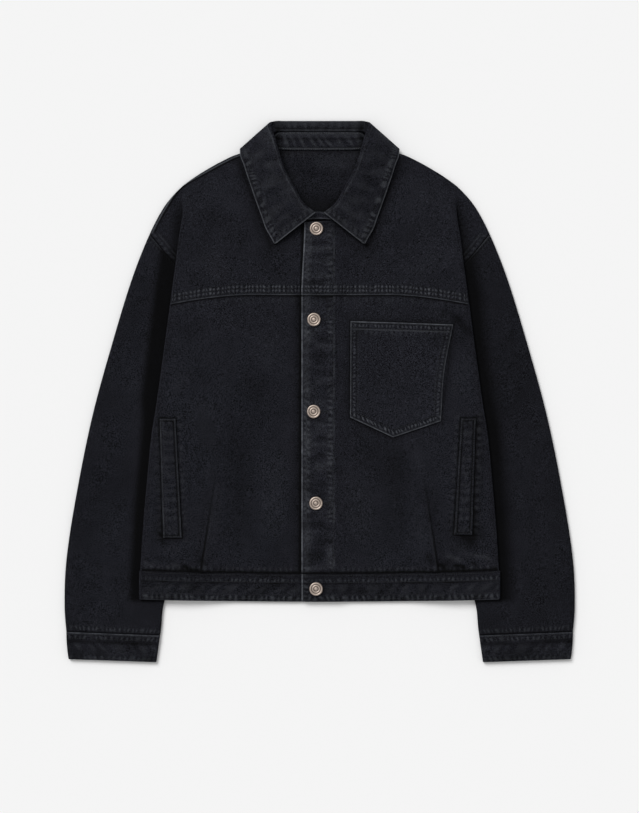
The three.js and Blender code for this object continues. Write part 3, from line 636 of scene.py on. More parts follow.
class Thread:
    """Rows of stitches, gathered for one mesh. A stitch is a short rod of four sides whose ends dip into the cloth."""

    STATIONS = np.array([0.0, 0.22, 0.5, 0.78, 1.0])
    SWELL = np.array([0.45, 0.92, 1.0, 0.92, 0.45])
    LIFT = np.array([-0.35, 0.35, 0.55, 0.35, -0.35])
    FIRST, SHARE = 0.15, 0.7

    def __init__(self):
        self.points, self.faces, self.count = [], [], 0

    def rods(self, start, end, up, width):
        """One stitch from each start to each end, standing along up."""
        along = end - start
        along /= np.maximum(np.linalg.norm(along, axis=1, keepdims=True), 1e-9)
        aside = np.cross(up, along)
        aside /= np.maximum(np.linalg.norm(aside, axis=1, keepdims=True), 1e-9)
        t = self.STATIONS[None, :, None]
        centre = lerp(start[:, None], end[:, None], t) + up[:, None] * (self.LIFT * width)[None, :, None]
        radius = (self.SWELL * width / 2)[None, :, None]
        ring = [centre + radius * d[:, None] for d in (aside, up, -aside, -up)]
        points = np.stack(ring, axis=2)
        n, stations = points.shape[:2]
        first = self.count + np.arange(n)[:, None, None] * stations * 4
        s = np.arange(stations - 1)[None, :, None] * 4
        k = np.arange(4)[None, None, :]
        a, b = first + s + k, first + s + (k + 1) % 4
        sides = np.stack([a, b, b + 4, a + 4], -1).reshape(-1, 4)
        cap = first[:, 0] + np.array([3, 2, 1, 0])
        foot = first[:, 0] + (stations - 1) * 4 + np.arange(4)
        self.faces += [sides, cap, foot]
        self.points.append(points.reshape(-1, 3))
        self.count += n * stations * 4

    def row(self, line, up):
        """Stitches along a line of points with its upward directions, each a share of a pitch long."""
        thread = bpy.context.scene.jacket_thread
        pitch, width = thread.pitch / MM, thread.width / MM
        step = np.linalg.norm(np.diff(line, axis=0), axis=1)
        run = np.concatenate([[0], np.cumsum(step)])
        count = max(1, int(run[-1] / pitch))
        from_ = (np.arange(count) + self.FIRST) * run[-1] / count
        to = from_ + self.SHARE * run[-1] / count
        at = lambda places, data: np.stack([np.interp(places, run, data[:, c]) for c in range(3)], 1)
        normal = at((from_ + to) / 2, up)
        normal /= np.linalg.norm(normal, axis=1, keepdims=True)
        self.rods(at(from_, line), at(to, line), normal, width)

    def on_grid(self, face, up, i, j):
        """A row of stitches at fractional row i and column j of a face's grid."""
        i, j = np.broadcast_arrays(np.asarray(i, float), np.asarray(j, float))
        i0, j0 = np.clip(i.astype(int), 0, face.shape[0] - 2), np.clip(j.astype(int), 0, face.shape[1] - 2)
        s, t = (i - i0)[:, None], (j - j0)[:, None]
        blend = lambda g: lerp(lerp(g[i0, j0], g[i0 + 1, j0], s), lerp(g[i0, j0 + 1], g[i0 + 1, j0 + 1], s), t)
        self.row(blend(face), blend(up))

    def on_side(self, height, side, x, y):
        """A row of stitches on one side's face of a known height, at places x towards that side."""
        line, up = on_face(height, x, y)
        self.row(line * [side, 1, 1], up * [side, 1, 1])

    def piece(self, name):
        """The rows as one piece."""
        points, faces = np.concatenate(self.points), np.concatenate(self.faces)
        thing = mesh_of(name, points, faces)
        thing.data.materials.append(tonal_thread())
        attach(thing, "root")
        return thing


def on_face(height, x, y):
    """Points and upward directions of a row of stitches at places x, y on a face of a known height."""
    x, y = np.broadcast_arrays(np.asarray(x, float), np.asarray(y, float))
    d = 0.6
    slope_x = (height(x + d, y) - height(x - d, y)) / (2 * d)
    slope_y = (height(x, y + d) - height(x, y - d)) / (2 * d)
    up = np.stack([-slope_x, -slope_y, np.ones_like(x)], 1)
    return np.stack([x, y, height(x, y)], 1), up / np.linalg.norm(up, axis=1, keepdims=True)


# ---- finishes


class Value:
    """A number in a shader. Arithmetic on it adds Math nodes."""

    def __init__(self, finish, socket):
        self.finish, self.socket = finish, socket

    def math(self, kind, *others, clamp=False):
        """A Math node of a kind on this number and others."""
        inputs = dict(enumerate([self, *others]))
        node = self.finish.node("ShaderNodeMath", {"operation": kind, "use_clamp": clamp}, inputs)
        return Value(self.finish, node.outputs[0])

    def __add__(self, other):
        return self.math("ADD", other)

    def __mul__(self, other):
        return self.math("MULTIPLY", other)

    def __sub__(self, other):
        return self.math("SUBTRACT", other)

    def __rsub__(self, other):
        return (self * -1) + other

    def __pow__(self, other):
        return self.math("POWER", other)

    __radd__, __rmul__ = __add__, __mul__

    def sine(self):
        """Its sine."""
        return self.math("SINE")

    def bell(self):
        """e to the power of minus its square."""
        return (self * self * -1).math("EXPONENT")

    def held(self):
        """Itself between 0 and 1."""
        return self.math("ADD", 0.0, clamp=True)


class Finish:
    """A material made in code."""

    def __init__(self, name):
        self.material = bpy.data.materials.new(name)
        self.material.use_nodes = True
        self.tree = self.material.node_tree
        self.tree.nodes.clear()

    def node(self, kind, settings=None, sockets=None):
        """A node of a type, with its settings made first and then the values or links of its sockets."""
        made = self.tree.nodes.new(kind)
        for key, value in (settings or {}).items():
            setattr(made, key, value)
        for key, value in (sockets or {}).items():
            if isinstance(value, Value):
                value = value.socket
            if isinstance(value, bpy.types.NodeSocket):
                self.tree.links.new(value, made.inputs[key])
            else:
                made.inputs[key].default_value = value
        return made

    def place(self, output="Object"):
        """A place on the piece, in its own coordinates or on the cut cloth."""
        return self.node("ShaderNodeTexCoord").outputs[output]

    def mark(self, name):
        """A named value of the piece's own points."""
        return Value(self, self.node("ShaderNodeAttribute", {"attribute_name": name}).outputs["Fac"])

    def noise(self, place, size, detail=2.0, roughness=0.5):
        """Noise from 0 to 1 whose blobs are about as large as size, in metres."""
        sockets = {"Vector": place, "Scale": 1 / size, "Detail": detail, "Roughness": roughness}
        return Value(self, self.node("ShaderNodeTexNoise", {"noise_dimensions": "3D"}, sockets).outputs[0])

    def blend(self, share, a, b):
        """Colour a where share is 0 and b where it is 1."""
        return self.node("ShaderNodeMix", {"data_type": "RGBA"}, {"Factor": share, 6: a, 7: b}).outputs[2]

    def bump(self, height, distance, strength):
        """The normal that a height gives."""
        sockets = {"Height": height, "Distance": distance, "Strength": strength}
        return self.node("ShaderNodeBump", None, sockets).outputs[0]

    def surface(self, constants, **varying):
        """The Principled shader, with constants set on its sockets and the values that vary linked."""
        names = {"color": "Base Color", "roughness": "Roughness", "normal": "Normal"}
        sockets = {**constants, **{names[k]: v for k, v in varying.items()}}
        shader = self.node("ShaderNodeBsdfPrincipled", None, sockets)
        self.node("ShaderNodeOutputMaterial", None, {"Surface": shader.outputs[0]})
        return self.material


def once(make):
    """A finish that is made when it is first asked for, and has its function's name."""
    name = make.__name__
    return lambda: bpy.data.materials.get(name) or make(Finish(name))


def shade(colour, times=1):
    """A colour so many times as bright."""
    return [c * times for c in colour[:3]] + [1]


def grey(value):
    """A grey colour of one value."""
    return (value, value, value, 1)


@once
def washed_denim(f):
    """Black denim: a twill of fine slanting ridges and grain, mottled by washing, pale where it is rubbed and where
    highlights are painted, and dark where shade is painted.
    """
    cloth = bpy.context.scene.jacket_cloth
    place, cut = f.place(), f.place("UV")
    part = f.node("ShaderNodeSeparateXYZ", None, {0: cut})
    across, along = Value(f, part.outputs[0]), Value(f, part.outputs[1])
    wander = f.noise(place, 0.006, 1.0) * (cloth.twill * 0.5)
    twill = (((across * 0.86 + along * 0.5) + wander) * (2 * np.pi / cloth.twill)).sine() * 0.5 + 0.5
    slub = ((along * 1.0 + wander) * (2 * np.pi / (cloth.twill * 0.8))).sine() * 0.5 + 0.5
    grain = f.noise(place, 0.00085, 1.0, 0.6)
    speck = f.noise(place, 0.0019, 2.0, 0.7)
    patch = f.noise(place, 0.018, 3.0, 0.6)
    wash = f.noise(place, 0.11, 2.0, 0.5)
    yarn = twill * 0.6 + slub * 0.4
    tone = (yarn - 0.5) * 0.8 + (grain - 0.5) * 9.0 + (speck - 0.5) * 1.6 + (patch - 0.5) * 0.7 + (wash - 0.5) * 0.6
    tone = (tone * cloth.grain * 0.5 + 0.40).held()
    base = f.blend(tone, shade(cloth.denim, 0.03), shade(cloth.denim, 2.5))
    frayed = (f.noise(place, 0.0022, 2.0, 0.7) - 0.5) * 2.0 + 1.0
    ridge, furrow = roping(f)
    # The pale mark is wear on edges and seams, plus painted highlights on the tops of creases, crumples and wrinkles
    wear_and_highlight = (f.mark("wear_and_highlight") * frayed + ridge * 0.7).held()
    base = f.blend(wear_and_highlight, base, shade(cloth.wear_and_highlight))
    # The dark mark is mostly painted shade: shadows beside and under lapping parts, and shade along seams, in creases,
    # tucks and crumples
    base = f.blend((f.mark("dark") * 0.9 + furrow).held(), base, grey(0.0012))
    normal = f.bump(yarn * 0.6 + grain * 0.5 + speck * 0.5, 0.00022, 0.55)
    rough = 0.86 + (grain - 0.5) * 0.2
    return f.surface({"Specular IOR Level": 0.04}, color=base, roughness=rough, normal=normal)


def roping(f):
    """The pale ridges and dark furrows beside a seam: a sine along it whose spacing and strength wander."""
    rope = f.node("ShaderNodeAttribute", {"attribute_name": "rope"}).outputs["Vector"]
    part = f.node("ShaderNodeSeparateXYZ", None, {0: rope})
    along, across, strength = (Value(f, part.outputs[k]) for k in range(3))
    spot = lambda x, y: f.node("ShaderNodeCombineXYZ", None, {0: x, 1: y, 2: 0.0}).outputs[0]
    weight = across.bell() * strength
    wander = f.noise(spot(along * 0.45, across * 0.2), 1.0, 1.0)
    lump = f.noise(spot(along * 0.8, across * 0.35), 1.0, 1.0)
    fine = f.noise(spot(along * 2.2, across * 1.5), 1.0, 1.0)
    wave = ((along + (wander - 0.5) * 1.8) * (2 * np.pi)).sine() * 0.5 + 0.5
    ridge = (wave * 1.2 + (lump - 0.5) * 2.4 + (fine - 0.5) * 2.0 - 0.40).held() * weight
    furrow = (wave * -1.1 - (lump - 0.5) * 2.0 + 0.60).held() * weight
    return ridge, furrow


@once
def tonal_thread(f):
    """Tonal sewing thread: mottled, a little paler than the cloth where it is rubbed."""
    colour = bpy.context.scene.jacket_thread.colour
    place = f.place()
    fleck = f.noise(place, 0.0012, 2.0, 0.7)
    patch = f.noise(place, 0.02, 2.0, 0.6)
    tone = (fleck * 0.5 + (patch - 0.5) * 1.5 + 0.25).held()
    base = f.blend(tone, shade(colour, 0.35), shade(colour, 1.5))
    normal = f.bump(fleck, 0.0001, 0.5)
    return f.surface({"Specular IOR Level": 0.2}, color=base, roughness=0.7 + fleck * 0.15, normal=normal)


@once
def rubbed_metal(f):
    """Aged copper-grey metal: bright on the rims, dull and dark in the grooves, with fine rubbing."""
    metal = bpy.context.scene.jacket_buttons.metal
    place = f.place()
    mottle = f.noise(place, 0.0016, 3.0, 0.65)
    grain = f.noise(place, 0.00045, 2.0, 0.6)
    groove = f.mark("dark")
    base = f.blend(((mottle - 0.5) * 2.0 + 0.6).held(), shade(metal, 0.62), shade(metal))
    base = f.blend((groove * 0.78).held(), base, [0.06, 0.048, 0.042, 1])
    normal = f.bump(mottle * 0.6 + grain * 0.4, 0.00008, 0.5)
    rough = 0.36 + mottle * 0.2 + groove * 0.25
    return f.surface({"Metallic": 0.85, "Specular IOR Level": 0.5}, color=base, roughness=rough, normal=normal)


# ---- the pieces


def soft_ground(side, x, y, height, across, along, seed):
    """Soft unevenness that fades beside the button band and the side fold."""
    soft = height * uneven(x, y, across, along, seed + side)
    return soft * ease((x - 40) / 40) * ease((side_fold(y) - x - 6) / 30)


def band_crumple(side, x, y):
    """The lapping band's own small crumples."""
    return 0.28 * uneven(x, y, 16, 7.5, 21 + side) * ease((BAND_STITCH - x) / 6) if side > 0 else 0


def front_relief(side, x, y):
    """The lower front's creases and its soft unevenness."""
    below, inside = yoke_seam(x) - y, side_fold(y) - x
    made = creases(x, y, FRONT_CREASES[side]) * ease(below / 12) * ease(inside / 14)
    made += soft_ground(side, x, y, 0.35, 46, 60, 11) * ease(below / 30)
    return made * ease((x - BAND_STITCH - 6) / 20) + band_crumple(side, x, y)


def yoke_relief(side, x, y):
    """The yoke's creases and its soft unevenness."""
    made = creases(x, y, YOKE_CREASES[side]) + soft_ground(side, x, y, 0.3, 50, 56, 31)
    fade = ease((y - YOKE_SEAM - 14) / 14) * ease((side_fold(y) - x) / 20) * ease((318 - y) / 20)
    return made * fade * ease((x - BAND_STITCH - 6) / 20) + band_crumple(side, x, y)


def front_face(side, x, y):
    """Height of the lower front's outer face at a distance x towards its own side."""
    return front_top(x, y) + band_rise(side, x) + front_relief(side, x, y)


def felled(side, x, y):
    """How far the yoke's lapped edge stands proud of the front."""
    up = y - yoke_seam(x)
    clear = 1 if side > 0 else ease((x - UNDER_END - 10) / 6)
    rope = 0.16 * uneven(x, y, 5.5, 4.0, 77 + side) * bell(up - 7, 6)
    return (FELLED * clear + rope) * ease((LAPPED - up) / 3)


def yoke_face(side, x, y):
    """Height of the yoke's outer face at a distance x towards its own side."""
    return front_top(x, y) + band_rise(side, x) + felled(side, x, y) + yoke_relief(side, x, y)


def edge_wear(side, x, y, edge):
    """A front's pale free edge, and on the lapping band the faint pale line of its inner row of stitches."""
    if side < 0:
        return 0.8 * bell(edge - 0.35, 0.8)
    line = 0.06 * bell(edge - 7.0, 4.6) + bell(edge - 0.4, 0.75) * (0.50 + 0.22 * uneven(0, y, 10, 6, 47))
    return line + bell(x - BAND_STITCH - 1.2, 0.9) * held(0.05 + 0.16 * uneven(x, y, 40, 12, 45))


def crumple_shading(side, x, y, dark, wear_and_highlight, where=1):
    """A front's dark and pale marks with the lapping band's soft crumples: painted shade in their troughs and a painted
    highlight on their tops.
    """
    if side < 0:
        return dark, wear_and_highlight
    soft = uneven(x, y, 15, 8, 211) + 0.5 * uneven(x, y, 40, 5, 213)
    soft = soft * ease((BAND_STITCH + 1 - x) / 3) * where
    return dark + 0.45 * held(soft), wear_and_highlight + 0.06 * held(-soft)


def band_ropes(side, x, y, edge, where=1):
    """The seams that rope the lapping band: its edge and its inner row of stitches."""
    if side < 0:
        return []
    strong = 0.30 * np.clip(0.6 + 0.5 * uneven(0, y, 10, 28, 43), 0.15, 1) * where
    inner_row = (y, x - BAND_STITCH + 4.5, 8.0, 4.0, strong)
    return [(y, edge - 4.8, 7.5, 2.1, strong), (y, edge - 9.2, 9, 2.3, strong), inner_row]


def shade_of(relief):
    """Painted shade in the troughs of a relief and a painted highlight on its ridges."""
    return 0.34 * np.clip(-relief, 0, 1.4), 0.022 * np.clip(relief, 0, 1.2)


def band_shadow(side, x, y):
    """The painted shadow on the under front along the edge of the band that laps over it."""
    if side > 0:
        return 0
    lap = -front_edge(1, y)
    return 0.85 * bell(x - lap - 1.6, 2.4) + 0.35 * bell(x - lap - 6, 6)


def welt_corners(row):
    """A welt's corners, clockwise."""
    top, foot = row["top"], row["foot"]
    return [(row["in_top"], top), (row["out_top"], top), (row["out_foot"], foot), (row["in_foot"], foot)]


def lower_front(side):
    """The lower front: rows from the waist to the yoke seam, each a section from the front edge over the outer
    face, round the fold at the side and back under it to the side seam."""
    step, left = bpy.context.scene.jacket_cloth.step / MM, side > 0
    height = YOKE_SEAM - WAIST_SEAM
    v = (finer_ends(0, height, step * 0.98, (0.5, 1.2), (0.5, 1.2)) / height)[:, None]
    at = lambda x: lerp(waist_seam(x) + SEAM_GAP / 2, yoke_seam(x) - SEAM_GAP * 0.7, v)
    y = at(np.array([[ROW_AT]]))[:, 0]
    turn_at = side_fold(y) - EDGE_OUT
    seam = side_seam(at(side_seam(y)[:, None])[:, 0]) + SEAM_GAP / 2
    start, line = front_edge(side, y), tuck_line(y)
    fixed = lambda value: np.full_like(y, value)
    anchors = [start, start + 0.35, start + 0.9, start + 2.2, fixed(BAND_STITCH - 0.5), fixed(BAND_STITCH + 2.5)]
    counts = BAND_COUNTS + [int(130 / step), 8, int(66 / step)]
    x = columns(anchors + [line - 5, line + 5, turn_at], counts)
    thick = rounded(band_thick(side, x), x - start[:, None])
    section = Section(x, front_face(side, x, at(x)) - thick / 2, thick)
    section.turn(np.pi * ROLL, 0, np.pi, 10)
    section.line(seam, section.end()[1], 24)
    x, z, thick = section.all()
    y = at(x)
    outer = np.arange(x.shape[1]) <= sum(counts)
    edge, past_tuck = x - start[:, None], x - tuck_line(y)
    top, foot = yoke_seam(x) - y, y - waist_seam(x)
    tuck_fade = ease(1 - (y - WAIST_SEAM) / TUCK_LENGTH)
    # Painted shade in the creases' troughs and a painted highlight on their ridges; the wrinkle strokes are painted the
    # same way
    trough_shade, crest_highlight = shade_of(creases(x, y, FRONT_CREASES[side]) * (x > BAND_STITCH + 8))
    wrinkle_shade = creases(x, y, WRINKLES[side])
    wear_and_highlight = edge_wear(side, x, y, edge) * (x < BAND_STITCH + 8) + crest_highlight + held(-wrinkle_shade) * 0.11
    # A painted highlight on the tuck's lit edge
    wear_and_highlight += 0.05 * bell(-past_tuck - 1.6, 1.2) * tuck_fade
    # Painted shade under the yoke's lapped edge, along the gathers at the waist seam, in the creases' troughs and in
    # the wrinkle strokes
    wiggle = 0.9 * uneven(x, 0, 4.6, 9, 55)
    dark = 0.85 * bell(top - 0.6, 2.0) + 0.95 * bell(foot - 1.4 + wiggle, 2.6) + trough_shade + held(wrinkle_shade)
    # The lapping band's painted shadow on the under front, and painted shade at the side fold and beside the band's
    # inner row
    dark += band_shadow(side, x, y) + 0.22 * bell(x - side_fold(y), 5)
    dark += 0.4 * bell(x - BAND_STITCH - 3.4, 1.0) * left * (0.6 + 0.4 * uneven(x, y, 30, 9, 57))
    # Painted shade in the tuck's fold and a little past it; past the band the front is a little darker overall
    in_tuck = (0.8 if left else 1.05) * bell(past_tuck - 0.4, 1.5) + 0.22 * bell(past_tuck - 6, 7)
    dark += in_tuck * np.sqrt(tuck_fade) + (0.08 if left else 0.05) * (x > BAND_STITCH + 4)
    row = next(row for row in WELTS if row["side"] == side)
    down = np.clip((row["top"] - y) / (row["top"] - row["foot"]), -0.1, 1.1)
    beside = (down > -0.05) * (down < 1.05)
    near_in, near_out = (x - lerp(row[k + "_top"], row[k + "_foot"], down) for k in ("in", "out"))
    # The welt's painted shadow round it and beside its outer side
    off = beyond(x, y, welt_corners(row))
    dark += 0.95 * bell(off - 0.7, 1.8) + 0.22 * bell(off - 4, 4) * (y < row["foot"] + 30)
    dark += (0.42 if left else 0.16) * bell(near_out - 6, 7) * beside
    # The chest pocket's painted shadow round it
    if left:
        off = beyond(x, y, [POCKET_IN_TOP, POCKET_OUT_TOP, POCKET_OUT_FOOT, POCKET_POINT, POCKET_IN_FOOT])
        dark += (0.6 * bell(off - 0.5, 1.5) + 0.22 * bell(off - 3, 5)) * (off > -6)
    seams = [
        (x, foot - 5, 7.5, 3.4, 0.15 * ease((x - 24) / 12)), (x, top - 7, 9, 5, 0.06),
        (y, near_in + 5, 10, 3.6, 0.10 * beside), (y, near_out - 5, 11, 4.4, (0.20 if left else 0.08) * beside),
    ]
    rope = ropes(*seams, *band_ropes(side, x, y, edge)) * outer[:, None]
    dark, wear_and_highlight = crumple_shading(side, x, y, dark, wear_and_highlight)
    name = f"front_{SIDES[side]}_cloth"
    return wall(name, np.stack([side * x, y, z], 2), thick, np.stack([x, y], 2), wear_and_highlight * outer, dark * outer, rope)


def yoke(side):
    """The yoke: rows from the yoke seam to the shoulder, each a section from the front edge or neckline over the
    outer face, round the shoulder fold, back along its hidden crease, and out to the shoulder or armhole."""
    step = bpy.context.scene.jacket_cloth.step / MM
    low = finer_ends(YOKE_SEAM, SHOULDER_POINT - 0.5, step * 0.98, YOKE_ROWS, ())
    high = finer_ends(SHOULDER_POINT + 0.5, SHOULDER_TOP, step * 1.05, (), (1, 2.4))
    level = np.concatenate([low, high])
    share = ease((205 - level) / (205 - YOKE_SEAM))[:, None]
    at = lambda x: level[:, None] + (yoke_seam(x) - YOKE_SEAM + SEAM_GAP / 2) * share
    y = at(np.array([[ROW_AT]]))[:, 0]
    shoulder, front = level > SHOULDER_POINT, level < NECK_FRONT
    end = np.where(shoulder, outer_edge(y), armhole(y) - ARMHOLE_GAP)
    angle = fold_angle(y)
    tight = np.minimum(1, (end - 70) / 60)
    rim = EDGE_OUT * slant(y)
    shoulder_turn = np.where(shoulder, end - np.minimum(rim, 10) - 8 * tight, outer_edge(y))
    turn_at = np.minimum(side_fold(y) - EDGE_OUT, shoulder_turn)
    start = np.where(front, front_edge(side, level), neckline(level))
    gap = np.minimum(1, (turn_at - start) / 60)
    band = start + np.minimum(np.where(front, BAND_STITCH - start, 40) - 0.5, (turn_at - start) * 0.35)
    anchors = [start, start + 0.35 * gap, start + 0.9 * gap, start + 2.2 * gap, band, band + 3 * gap, turn_at]
    counts = BAND_COUNTS + [int(170 / step)]
    x = columns(anchors, counts)
    free = np.minimum(x - start[:, None], level[:, None] - YOKE_SEAM)
    thick = rounded(band_thick(side, x) + felled(side, x, at(x)), free)
    section = Section(x, yoke_face(side, x, at(x)) - thick / 2, thick)
    section.turn(np.pi * ROLL * tight, 0, angle, 9)
    reach = np.maximum(0.6, turn_at - crease_line(y))
    section.turn(lerp(0.6 * tight, reach, ease((angle - 2.3) / 0.84)), angle, 0, 8)
    section.turn(np.pi * CREASE * tight, angle, -angle, 8)
    flat = np.maximum(section.end()[0][:, 0] + 0.5, end - rim)
    lower = ARMHOLE_THICK - CLOTH / 2 + leaf_lift(flat, y)
    section.line(flat, lower, 30)
    rim_z = (lower + back_floor(flat, y) + CLOTH / 2) / 2 + SEAM_GAP
    section.rim(end, end - rim * CLOTH / 2 / EDGE_OUT, rim_z[:, None], shoulder)
    x, z, thick = section.all()
    y = at(x)
    outer = np.arange(x.shape[1])[None, :] <= sum(counts)
    past = np.arange(x.shape[1])[None, :] > sum(counts) + 20
    shoulder, front = shoulder[:, None], front[:, None]
    edge, up = x - start[:, None], y - yoke_seam(x)
    on_band = front * (x < BAND_STITCH + 8)
    # Painted shade in the creases' troughs and a painted highlight on their ridges
    trough_shade, crest_highlight = shade_of(creases(x, y, YOKE_CREASES[side]) * (x > BAND_STITCH + 8) * (up > 14))
    wear_and_highlight = 0.30 * bell(up - 0.5, 0.85) * (0.75 + 0.35 * uneven(x, 0, 8, 9, 61)) + crest_highlight
    wear_and_highlight += edge_wear(side, x, y, edge) * on_band
    # Painted shade along the lapped seam: beside its two rows of stitches and at the edge of the allowance under it
    dark = 0.55 * bell(up - 3.2, 0.9) + 0.55 * bell(up - 8.9, 1.0) + 0.3 * bell(up - 13.8, 1.2) + trough_shade
    # The lapping band's painted shadow, and painted shade at the side fold and beside the band's inner row
    dark += band_shadow(side, x, y) * on_band + 0.2 * bell(x - side_fold(y), 5)
    dark += 0.4 * bell(x - BAND_STITCH - 3.4, 1.0) * (side > 0) * (up > 14) * front
    # The painted shadow that the collar's leaf casts on the yoke
    off = beyond(x, y, LEAF_CORNERS)
    dark += (0.45 * bell(off - 1, 3) + 0.30 * bell(off - 4, 9)) * (off > -8)
    dark, wear_and_highlight = crumple_shading(side, x, y, dark, wear_and_highlight, front * (up > 14))
    wear_and_highlight, dark = wear_and_highlight * outer, dark * outer
    seam = np.where(shoulder, FAR, (armhole(y) - x) * 0.67)
    inward = (outer_edge(y) - x) / slant(y)
    wear_and_highlight += past * 0.15 * bell(seam - 8.7, 1.1) * (0.6 + 0.6 * uneven(x, y, 3, 3, 65))
    # Painted shade along the armhole seam and beside its rows, and over the shoulder fold
    dark += past * (0.85 * bell(seam - 0.6, 1.3) + 0.35 * bell(seam - 6.8, 0.9) + 0.3 * bell(seam - 11, 1.2))
    dark += past * 0.78 * bell(x - side_fold(y), 13) * ease((290 - y) / 46)
    # A painted shade line along the shoulder seam, with a pale worn line beside it
    if side < 0:
        place = 5.2 - 3.6 * bell(y - 283, 16)
        on_seam = (y > SHOULDER_POINT + 1) * (neckline(y) + 20 < x) * (inward < 12)
        dark += 1.1 * bell(inward - place, 1.3) * on_seam
        wear_and_highlight += 0.40 * bell(inward - place + 2.2, 0.9) * on_seam
    strong = (0.85 + 0.25 * uneven(x, 0, 26, 9, 63)) * outer
    rope = ropes(
        (x, up - 6.0, 5.4, 2.0, 0.48 * strong), (x, up - 11.6, 5.4, 2.2, 0.50 * strong),
        (y, seam - 4.0, 6, 2.4, 0.15 * past), *band_ropes(side, x, y, edge, outer * on_band),
    )
    name = f"yoke_{SIDES[side]}_cloth"
    return wall(name, np.stack([side * x, y, z], 2), thick, np.stack([x, y], 2), wear_and_highlight, dark, rope)


def back():
    """The back: rows from the waist to the shoulders, each a section from the middle, up over the sleeve and out
    to the side seam, armhole or shoulder, and the same mirrored."""
    level = np.concatenate([
        np.linspace(WAIST_SEAM, -238, 5), np.arange(-231, 150, 6.5), [152, 156, 160, 165, 170, 176, 182, 188],
        np.linspace(194, SHOULDER_POINT - 0.5, 9), np.linspace(SHOULDER_POINT + 0.5, SHOULDER_TOP, 44),
    ])
    blend = ease(1 - (level - WAIST_SEAM) / 30)[:, None]
    at = lambda x: level[:, None] + blend * (waist_seam(x) + SEAM_GAP / 2 - WAIST_SEAM)
    shoulder = level > SHOULDER_POINT
    seam = side_seam(at(side_seam(level)[:, None])[:, 0]) - SEAM_GAP / 2
    under_arm = lerp(seam, armhole(level) - ARMHOLE_GAP, ease((level - 136) / 14))
    end = np.where(shoulder, outer_edge(level), under_arm)
    edge = np.where(shoulder, EDGE_OUT * slant(level), EDGE_OUT)
    ramp = np.minimum(inner_edge(level) - RAMP_END, end - edge - 10)
    x = columns([np.zeros_like(level), np.maximum(20, ramp - RAMP), ramp, end - edge], [14, 16, 10])
    section = Section(x, back_floor(x, at(x)) + CLOTH / 2, np.full(x.shape, CLOTH))
    flat, z = section.end()
    top = ARMHOLE_THICK - CLOTH / 2 + leaf_lift(flat, level[:, None])
    section.rim(end, end - edge * CLOTH / 2 / EDGE_OUT, (top + z) / 2 - SEAM_GAP, shoulder)
    x, z, thick = section.all()
    y = at(x)
    inside = 0.3 * uneven(x, y, 38, 30, 71) * ease((y - 225) / 20) * ease((325 - y) / 14) * ease((90 - x) / 20)
    half = np.stack([x, y, z + inside], 2)
    middle = np.concatenate([half[:, :0:-1] * [-1, 1, 1], half], 1)
    thick = np.concatenate([thick[:, :0:-1], thick], 1)
    x, y = middle[..., 0], middle[..., 1]
    wear_and_highlight = 0.05 * held(uneven(x, y, 24, 20, 73))
    # Painted shade on the inside of the back: under the collar at its top, beside the neckline and lower down
    rim_shade = 0.18 + 0.55 * bell(neckline(y) - np.abs(x) - 3, 14) + 0.6 * ease((296 - y) / 44)
    dark = 0.45 * bell(y - SHOULDER_TOP, 4) + rim_shade * (y > 200)
    return wall("back_cloth", middle, thick, middle[..., :2], wear_and_highlight, dark, ropes((x, y - 331, 8, 4, 0.10)))


def flat_section(width, thick, inset, steps):
    """The ring of a flattened tube: distances from its inner end and heights, for every station. It lies flat on
    the surface, its ends are half circles, and inset moves it inside itself."""
    radius, r = thick / 2, thick / 2 - inset
    share, turn, flat = np.arange(steps + 1) / steps, np.arange(1, 8) / 8 * np.pi, 0 * width * np.ones(steps + 1)
    d = [lerp(radius, width - radius, share), width - radius + r * np.sin(turn)]
    d += [lerp(width - radius, radius, share), radius - r * np.sin(turn)]
    z = [inset + flat, radius - r * np.cos(turn), thick - inset + flat, radius + r * np.cos(turn)]
    return np.concatenate(d, 1), np.concatenate(z, 1)


def flat_tube(side, inner, outer, thick, bow, cloth, steps, relief):
    """A flattened tube through stations of two edge points: each ring lies on the line between them, bent by bow
    and lowered or raised on its upper side by relief."""
    width = np.hypot(*(outer - inner).T)[:, None]
    thick = np.reshape(thick, (-1, 1))
    faces = []
    for inset in (0, cloth):
        d, z = flat_section(width, thick, inset, steps)
        share = d / width
        upper = ease((z / thick - 0.35) / 0.5)
        x = lerp(inner[:, :1], outer[:, :1], share)
        y = lerp(inner[:, 1:], outer[:, 1:], share) + bow(share)
        z = z + relief(share) * upper
        faces.append(np.stack([side * x, y, z], 2))
    return faces, share, upper


def sleeve_relief(side, s, share):
    """The sleeve's creases by share of its length and share across it, and its soft unevenness."""
    s = s[:, None]
    made = np.zeros(np.broadcast(s, share).shape)
    for (s0, a0), (s1, a1), width, height in SLEEVE_CREASES[side]:
        ds, da = s1 - s0, (a1 - a0) * SLEEVE_SLIM
        length = np.hypot(ds, da)
        ps, pa = s - s0, (share - a0) * SLEEVE_SLIM
        along = (ps * ds + pa * da) / length**2
        aside = (pa * ds - ps * da) / length - 0.010 * np.sin(np.pi * held(along))
        made += height * bell(aside, width * 0.55) * ease(along / 0.35) * ease((1 - along) / 0.35)
    run, across = s * SLEEVE_RUN, share * SLEEVE_WIDE
    made += 0.3 * uneven(run, across, 44, 36, 81 + side)
    made += 0.3 * uneven(run, across, 30, 9, 83 + side) * ease((s - 0.92) / 0.06)
    lowered = np.minimum(made, 0.0)
    return (lowered + (made - lowered) * ease((share - 0.36) / 0.2)) * ease(s / 0.06)


